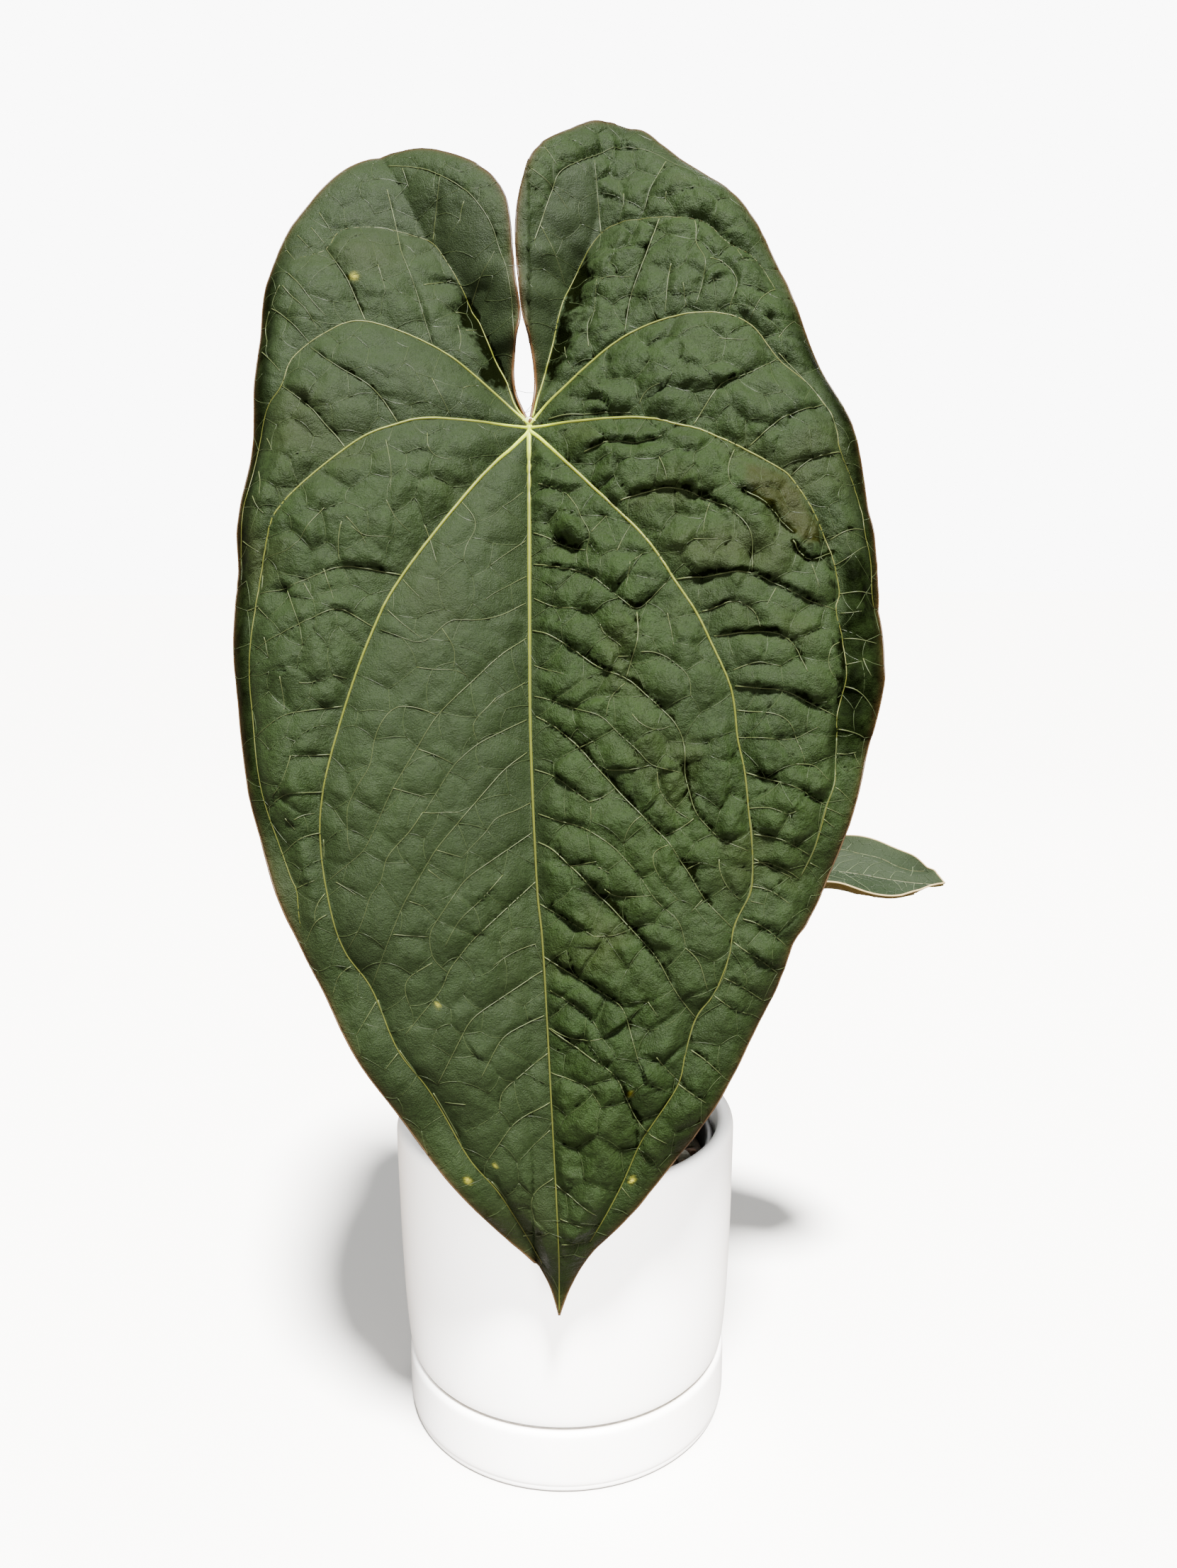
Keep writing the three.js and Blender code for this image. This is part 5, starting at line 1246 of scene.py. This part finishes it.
# Petioles
stalkLook = {
    "green": tone(84, 108, 48), "pale": tone(112, 128, 66), "foot": tone(108, 78, 48),
    "joint": tone(148, 158, 88),
}
petioles = {
    "petioleMain": {
        "node": "petiole_main", "radii": [4.2, 3.3, 2.9, 2.9, 2.7, 3.5, 3.7],
        "path": [[-1, 7.4, 132.6], [-1, 7.4, 140], [-4, 8, 170], [-7, 7, 240], [-9, 3, 310],
                 [-10.4, -6, 350], mainOrigin - 9 * mainNormal, mainOrigin - 3.4 * mainNormal]},
    "petioleSecond": {
        "node": "petiole_second", "radii": [3.2, 2.5, 2.1, 2, 2.2, 2.5],
        "path": [[5.4, 13, 132.6], [5.5, 13.2, 138], [11, 24, 155], [22, 45, 175],
                 secondOrigin - 14 * secondNormal, secondOrigin - 3 * secondNormal]},
}


def stalk(path, radii, sides, step, seed):
    # A stalk along a smooth path: the radius runs evenly between the given ones, times
    # 1 + 0.045 * cos(3 * angle) for three shallow ridges, and a faint cloud
    run = smoothRun(path, step)
    share = np.linspace(0, 1, len(run))
    radius = np.interp(share, np.linspace(0, 1, len(radii)), radii)
    ahead = np.gradient(run, axis=0)
    ahead /= np.linalg.norm(ahead, axis=1, keepdims=True)
    side = np.cross(ahead, np.array([1.0, 0.05, 0]))
    side /= np.linalg.norm(side, axis=1, keepdims=True)
    other = np.cross(ahead, side)
    angle = 2 * np.pi * np.arange(sides) / sides
    ridges = 1 + 0.045 * np.cos(3 * angle)[None]
    wobble = ridges + 0.03 * cloud(share[:, None] * 90, angle[None] * 2, 7, seed)
    ring = (run[:, None] + radius[:, None, None] * wobble[..., None] * (
        np.cos(angle)[:, None] * side[:, None] + np.sin(angle)[:, None] * other[:, None]))
    points = np.concatenate([run[:1], ring.reshape(-1, 3), run[-1:]])
    return points, tubeFaces(len(run), sides), tubeMark(share, sides)


def stalkFinish(look):
    # Petiole: green with paler streaks along it, reddish brown at its foot, a paler joint at its top
    f = Finish("petioleGreen", tone(92, 116, 52), 0.42, Specular_IOR_Level=0.45)
    stretched = f.put("ShaderNodeMapping", {"Vector": f.place, "Scale": (1.0, 1.0, 0.12)}).outputs[0]
    streak = f.between(f.noise(900, 3, 0.6, stretched), 0.35, 0.7)
    body = f.mix(streak, look["green"], look["pale"])
    body = f.mix(f.between(f.mark("along"), 0.0, 0.12, 0.8, 0.0), body, look["foot"])
    joint = f.between(f.mark("along"), 0.9, 0.97, 0.0, 0.7)
    f.drive("Base Color", f.mix(joint, body, look["joint"]))
    f.drive("Roughness", f.between(f.noise(400, 2), 0.3, 0.7, 0.36, 0.5))
    f.drive("Normal", f.bump(f.noise(1200, 3, 0.6, stretched), 0.3, 0.0003))
    return f.material


stalkMaterial = stalkFinish(stalkLook)
for name, look in petioles.items():
    points, faces, along = stalk(look["path"], look["radii"], 24, 1.2, 31)
    addPiece(name, points, faces, "green_stem", stalkMaterial, {"along": along}, look["node"])
print("stage: petioles")

# Pot, saucer and liner, each [radius, height] round the upright axis
saucerProfile = [[0, 0], [60.4, 0], [61.3, 0.5], [61.6, 1.4], [61.6, 2.6], [61.9, 2.8], [62.3, 4.4],
    [62.3, 21.4], [62, 22.8], [61.3, 23.7], [60.3, 24], [58.9, 23.7], [57.9, 22.6], [57.7, 21],
    [57.6, 9], [56.7, 6.9], [54.7, 6], [0, 6]]
potProfile = [[7, 6.3], [53.5, 6.3], [55.5, 7.1], [56.5, 9.1], [56.7, 24.4], [57.3, 24.6],
    [60.2, 24.9], [61.2, 25.8], [61.8, 27.6], [62.3, 31], [62.9, 38], [63.6, 50], [64.3, 70],
    [64.7, 92], [65, 112.4], [64.9, 114.2], [64.3, 115.8], [63.2, 116.8], [61.9, 117],
    [60.4, 116.7], [59.3, 115.8], [58.8, 114.2], [58.6, 110], [57.6, 21.3], [56.2, 15.3],
    [52.8, 12.7], [48.8, 12.3], [7, 12.3], [7, 6.3]]
linerProfile = [[7, 12.6], [48, 12.6], [49, 13.6], [55.6, 106.3], [57.1, 106.3], [57.4, 107.4],
    [57, 108.5], [54.7, 108.5], [54.4, 106.5], [47.8, 14.8], [46.8, 13.8], [7, 13.8], [7, 12.6]]
# Where the painted seam shade lies and how far it spreads, in mm
seamShadeLook = {"radius": 59.5, "height": 24.3, "reach": 1.1}
glaze = glazeFinish(glazeLook)


def addGlazed(name, profile, node, seamShade):
    # A glazed piece with painted shade by the seam: exp(-(distance from the seam / reach) ^ 2)
    points, faces = turned(profile, 192)
    outward = np.hypot(points[:, 0], points[:, 1]) - seamShade["radius"]
    gap = np.hypot(outward, points[:, 2] - seamShade["height"])
    return addPiece(name, points, faces, "glazed_white", glaze,
                    {"seamShade": np.exp(-(gap / seamShade["reach"]) ** 2)}, node)


saucerPiece = addGlazed("saucerGlazed", saucerProfile, "saucer", seamShadeLook)
potPiece = addGlazed("potGlazed", potProfile, "pot", seamShadeLook)
addPiece("nurseryPotLiner", *turned(linerProfile, 144), "black_plastic", linerFinish(linerLook),
         node="nursery_pot")
print("stage: ceramic")

# Mix, and the chunks on it
stemCentre = np.array([2.0, 10.0])
bedLook = {
    "edge": 53.3, "top": 100.0, "dome": 2.4,  # the wall is [radius, height] from the edge down
    "wall": [[53.3, 97], [52.9, 92.0], [51.5, 60.0], [49.0, 24.0], [46.6, 16.0], [44.5, 14.1]],
    "material": plainFinish("mixBed", tone(58, 46, 34), tone(104, 88, 66), 420, 0.9, 0.8, 0.0012),
}
chunkLooks = {
    "barkChunks": {
        "count": 230, "size": (1.8, 4.6), "stretch": (0.55, 1.25), "rough": 0.1, "boxy": 0.6, "seed": 51,
        "material": plainFinish("barkBrown", tone(60, 40, 26), tone(124, 90, 60), 260, 0.85, 0.9, 0.0009)},
    "pumiceChunks": {
        "count": 90, "size": (1.2, 3.0), "stretch": (0.7, 1.1), "rough": 0.14, "boxy": 0.8, "seed": 52,
        "material": plainFinish("pumiceGrey", tone(150, 146, 134), tone(206, 202, 190), 700, 0.9, 0.9,
                                0.0007)},
}


def addBed(look):
    # The bed: rings whose height is a dome, top + dome * (1 - share ^ 2), plus two clouds and less a
    # drop at the edge, then rings down the wall to a flat foot
    sides = 120
    angle = 2 * np.pi * np.arange(sides) / sides
    share = np.linspace(0, 1, 46)[1:, None]
    wall = np.array(look["wall"])
    x = np.concatenate([look["edge"] * share, wall[:, :1]]) * np.cos(angle)
    y = np.concatenate([look["edge"] * share, wall[:, :1]]) * np.sin(angle)
    px, py = x[:len(share)], y[:len(share)]
    pz = (look["top"] + look["dome"] * (1 - share ** 2) - 0.5
          + 0.9 * cloud(px, py, 6, 41) + 0.5 * cloud(px, py, 2.6, 42) - 1.2 * easeStep(0.93, 1, share))
    z = np.concatenate([pz, np.repeat(wall[:, 1:], sides, 1)])
    points = np.concatenate([[[0, 0, look["top"] + 1.9]], np.stack([x, y, z], 2).reshape(-1, 3),
                             [[0, 0, wall[-1, 1]]]])
    addPiece("substrateBed", points, tubeFaces(len(z), sides), "bark_mix", look["material"],
             node="substrate")


def ballPoints():
    # The corners and faces of a 20-sided ball, each face split in four, at distance 1
    g = (1 + 5 ** 0.5) / 2
    p = np.array([[-1, g, 0], [1, g, 0], [-1, -g, 0], [1, -g, 0], [0, -1, g], [0, 1, g], [0, -1, -g],
                  [0, 1, -g], [g, 0, -1], [g, 0, 1], [-g, 0, -1], [-g, 0, 1]], float)
    f = np.array([[0, 11, 5], [0, 5, 1], [0, 1, 7], [0, 7, 10], [0, 10, 11], [1, 5, 9], [5, 11, 4],
                  [11, 10, 2], [10, 7, 6], [7, 1, 8], [3, 9, 4], [3, 4, 2], [3, 2, 6], [3, 6, 8], [3, 8, 9],
                  [4, 9, 5], [2, 4, 11], [6, 2, 10], [8, 6, 7], [9, 8, 1]])
    a, b, c = p[f[:, 0]], p[f[:, 1]], p[f[:, 2]]
    ab, bc, ca = (a + b) / 2, (b + c) / 2, (c + a) / 2
    quarters = [np.stack(q, 1) for q in ((a, ab, ca), (ab, b, bc), (ca, bc, c), (ab, bc, ca))]
    corners = np.concatenate(quarters).reshape(-1, 3)
    corners /= np.linalg.norm(corners, axis=1, keepdims=True)
    kept, faces = weld(corners * 100, np.arange(len(corners)).reshape(-1, 3))
    return corners[kept], faces


def addChunks(name, look, bed):
    # Chunks: each coordinate of a ball to a power that draws it toward a box, times a size, a
    # stretch and a shake, turned about the upright axis and tilted, and scattered over the bed
    rng = np.random.default_rng(look["seed"])
    count = look["count"]
    ball, faces = ballPoints()
    boxed = np.sign(ball) * np.abs(ball) ** look["boxy"]
    boxed /= np.abs(boxed).max(1).mean()
    size = rng.uniform(*look["size"], (count, 1, 1))
    shape = size * boxed[None] * rng.uniform(*look["stretch"], (count, 1, 3))
    shape *= 1 + look["rough"] * rng.uniform(-1, 1, (count, len(ball), 1))
    a, b = rng.uniform(0, 2 * np.pi, (2, count))
    tilt = rng.uniform(-0.5, 0.5, count)
    ca, sa, ct, st = np.cos(a), np.sin(a), np.cos(tilt), np.sin(tilt)
    zero, one = np.zeros(count), np.ones(count)
    spin = np.stack([ca, -sa, zero, sa, ca, zero, zero, zero, one], 1).reshape(-1, 3, 3)
    lean = np.stack([one, zero, zero, zero, ct, -st, zero, st, ct], 1).reshape(-1, 3, 3)
    shape = np.einsum("nij,nkj->nki", spin @ lean, shape)
    size = size[:, 0, 0]
    out = (bed["edge"] - 1.25 * size) * rng.uniform(0, 1, count) ** 0.5
    x, y = out * np.cos(b), out * np.sin(b)
    z = bed["top"] + 2.2 * (1 - (out / bed["edge"]) ** 2) + rng.uniform(-0.1, 0.5, count) * size
    clear = np.hypot(x - stemCentre[0], y - stemCentre[1]) > 13 + size
    shape = (shape + np.stack([x, y, z], 1)[:, None])[clear]
    start = len(ball) * np.arange(len(shape))
    faces = (faces[None] + start[:, None, None]).reshape(-1, 3)
    addPiece(name, shape.reshape(-1, 3), faces, "bark_mix", look["material"], smooth=False)


addBed(bedLook)
for name, look in chunkLooks.items():
    addChunks(name, look, bedLook)
print("stage: mix")

# Stem and roots
stemLook = {
    "radius": 11.0, "foot": 72.0, "top": 132.0, "scars": 5,
    "material": plainFinish("stemGreenBrown", tone(78, 84, 44), tone(128, 112, 68), 170, 0.7, 0.7,
                            0.0008),
}
rootLook = {
    "count": 5, "radii": [2.4, 2.3, 2.1, 1.9, 1.5],
    "material": plainFinish("rootTan", tone(128, 108, 70), tone(168, 150, 112), 520, 0.8, 0.6, 0.0005),
}


def addStem(look):
    # The stem: a column whose radius steps out at each leaf scar, by an eased rise and a quicker
    # fall, with shallow grooves and a rounded top
    sides, rings = 72, 120
    share = np.linspace(0, 1, rings)
    z = look["foot"] + (look["top"] - look["foot"]) * share
    step = (share * look["scars"] * 1.15 + 0.1) % 1
    scar = 2.0 * easeStep(0, 0.75, step) - 1.2 * easeStep(0.86, 1.0, step)
    ring = look["radius"] - 2.2 + scar - 1.4 * share ** 3
    crown = np.clip((share - 0.93) / 0.075, 0, 1)
    ring *= np.sqrt(np.clip(1 - crown ** 2, 0.0, 1)) * 0.96 + 0.04
    ring[0] *= 0.6
    angle = 2 * np.pi * np.arange(sides) / sides
    grooves = 0.25 * np.cos(9 * angle)[None] * (step[:, None] < 0.8)
    bump = 0.35 * cloud(angle[None] * 9, z[:, None], 2.2, 61) + grooves
    radius = ring[:, None] + bump * (ring[:, None] > 3)
    x = stemCentre[0] + radius * np.cos(angle)
    y = stemCentre[1] + radius * np.sin(angle)
    middle = (share > 0.05) & (share < 0.9)
    z = z[:, None] + 0.8 * np.sin(angle + 5 * share[:, None]) * middle[:, None]
    points = np.concatenate([[[*stemCentre, look["foot"]]], np.stack([x, y, z], 2).reshape(-1, 3),
                             [[*stemCentre, look["top"]]]])
    addPiece("stemColumn", points, tubeFaces(rings, sides), "green_stem", look["material"], node="stem")


def addRoots(look):
    # The roots leave the stem above the mix, evenly round it, and dive in
    parts, alongs = [], []
    for i in range(look["count"]):
        turn = 2 * np.pi * (i + 0.35) / look["count"]
        reach = 21 + 4 * math.sin(3.1 * i)
        start = 113 + 2.5 * (i % 3)
        path = [[stemCentre[0] + out * math.cos(turn), stemCentre[1] + out * math.sin(turn), height]
                for out, height in ((4, start), (0.5 * reach, start + 1), (0.85 * reach, start - 6),
                                    (reach, 94), (reach + 1, 80))]
        points, faces, along = stalk(path, look["radii"], 18, 0.9, 70 + i)
        parts.append((points, faces))
        alongs.append(along)
    addPiece("stemRoots", *joinParts(parts), "green_stem", look["material"],
             {"along": np.concatenate(alongs)})


addStem(stemLook)
addRoots(rootLook)
print("stage: stem and roots")

# Camera, floor and light, in metres, degrees and watts
cameraLook = {"yaw": 1.24, "pitch": 9.74, "roll": -0.19, "place": (0.0, -0.4336, 0.3191), "lens": 27.2}
floorLook = {"seen": tone(238, 236, 232), "returned": tone(96, 88, 80), "half": 30}
sunLook = {"toward": (0.08, -0.42, 0.9), "softness": 9, "strength": 42, "colour": (1.0, 0.99, 0.97)}
lightLooks = {
    "potFill": {"place": (0.2, -1.5, 0.35), "target": (0, 0, 0.06), "size": (1.0, 0.8), "watts": 120,
                "colour": (1.0, 0.99, 0.98), "lit": [potPiece, saucerPiece]},
    "fillLeft": {"place": (-1.1, -1.2, 0.55), "target": (0, 0, 0.22), "size": (0.9, 0.9), "watts": 7,
                 "colour": (0.94, 0.97, 1.0)},
    "fillLow": {"place": (0.1, -1.0, 0.05), "target": (0, -0.05, 0.16), "size": (0.6, 0.3), "watts": 12,
                "colour": (0.98, 1.0, 0.96)},
    "backGlow": {"place": (0.2, 1.2, 1.0), "target": (0, 0, 0.25), "size": (1.0, 0.6), "watts": 14,
                 "colour": (1.0, 1.0, 1.0)},
}
worldLook = {"soft": (0.95, 0.98, 1.0, 1), "strength": 0.24, "seen": (1, 1, 1, 1), "backdrop": 9.6}


def addObject(name, data):
    # An object for a camera, a light or a mesh, in the scene
    thing = bpy.data.objects.new(name, data)
    bpy.context.scene.collection.objects.link(thing)
    return thing


def addCamera(look):
    # The photo's camera: turned right by yaw and down by pitch, then by roll about its own line
    yaw, pitch, roll = (math.radians(look[k]) for k in ("yaw", "pitch", "roll"))
    forward = Vector((math.sin(yaw) * math.cos(pitch), math.cos(yaw) * math.cos(pitch), -math.sin(pitch)))
    right = Vector((math.cos(yaw), -math.sin(yaw), 0))
    up = right.cross(forward)
    side = right * math.cos(roll) + up * math.sin(roll)
    top = up * math.cos(roll) - right * math.sin(roll)
    data = bpy.data.cameras.new("photoCamera")
    data.lens = look["lens"]
    data.sensor_width = 36
    data.clip_start = 0.02
    camera = addObject("photoCamera", data)
    turn = Matrix((side, top, -forward)).transposed().to_4x4()
    camera.matrix_world = Matrix.Translation(Vector(look["place"])) @ turn
    bpy.context.scene.camera = camera


def addFloor(look):
    # A plain pale floor, wide enough for every view; it returns as little light to the leaf as a
    # wooden table does
    half = look["half"]
    mesh = bpy.data.meshes.new("floor")
    mesh.from_pydata([(-half, -half, 0), (half, -half, 0), (half, half, 0), (-half, half, 0)], [],
                     [(0, 1, 2, 3)])
    f = Finish("paleFloor", look["seen"], 0.7, Specular_IOR_Level=0.1)
    seen = f.put("ShaderNodeLightPath").outputs["Is Camera Ray"]
    f.drive("Base Color", f.mix(seen, look["returned"], look["seen"]))
    mesh.materials.append(f.material)
    floor = addObject("floor", mesh)
    floor.location.z = -0.0003


def addLight(name, look):
    # A soft rectangle of light; where lit holds pieces it lights these alone
    data = bpy.data.lights.new(name, "AREA")
    data.shape = "RECTANGLE"
    data.size, data.size_y = look["size"]
    data.energy = look["watts"]
    data.color = look["colour"]
    light = addObject(name, data)
    light.location = look["place"]
    way = Vector(look["target"]) - Vector(look["place"])
    light.rotation_euler = way.to_track_quat("-Z", "Y").to_euler()
    if "lit" in look:
        chosen = bpy.data.collections.new(name + "Pieces")
        for piece in look["lit"]:
            chosen.objects.link(piece)
        light.light_linking.receiver_collection = chosen


def addSun(look):
    # A far light from one direction, its disc softness degrees across
    data = bpy.data.lights.new("keyAbove", "SUN")
    data.angle = math.radians(look["softness"])
    data.energy = look["strength"]
    data.color = look["colour"]
    sun = addObject("keyAbove", data)
    sun.rotation_euler = Vector(look["toward"]).to_track_quat("Z", "Y").to_euler()


def addWorld(look):
    # Even soft white all round, and a brighter white where the camera sees the background itself
    world = bpy.data.worlds.new("studio")
    world.use_nodes = True
    nodes, links = world.node_tree.nodes, world.node_tree.links
    soft, seen = nodes["Background"], nodes.new("ShaderNodeBackground")
    soft.inputs[0].default_value = look["soft"]
    soft.inputs[1].default_value = look["strength"]
    seen.inputs[0].default_value = look["seen"]
    seen.inputs[1].default_value = look["backdrop"]
    path = nodes.new("ShaderNodeLightPath")
    blend = nodes.new("ShaderNodeMixShader")
    links.new(path.outputs["Is Camera Ray"], blend.inputs[0])
    links.new(soft.outputs[0], blend.inputs[1])
    links.new(seen.outputs[0], blend.inputs[2])
    links.new(blend.outputs[0], nodes["World Output"].inputs[0])
    bpy.context.scene.world = world


addCamera(cameraLook)
addFloor(floorLook)
addSun(sunLook)
for name, look in lightLooks.items():
    addLight(name, look)
addWorld(worldLook)
print("stage: camera and light")
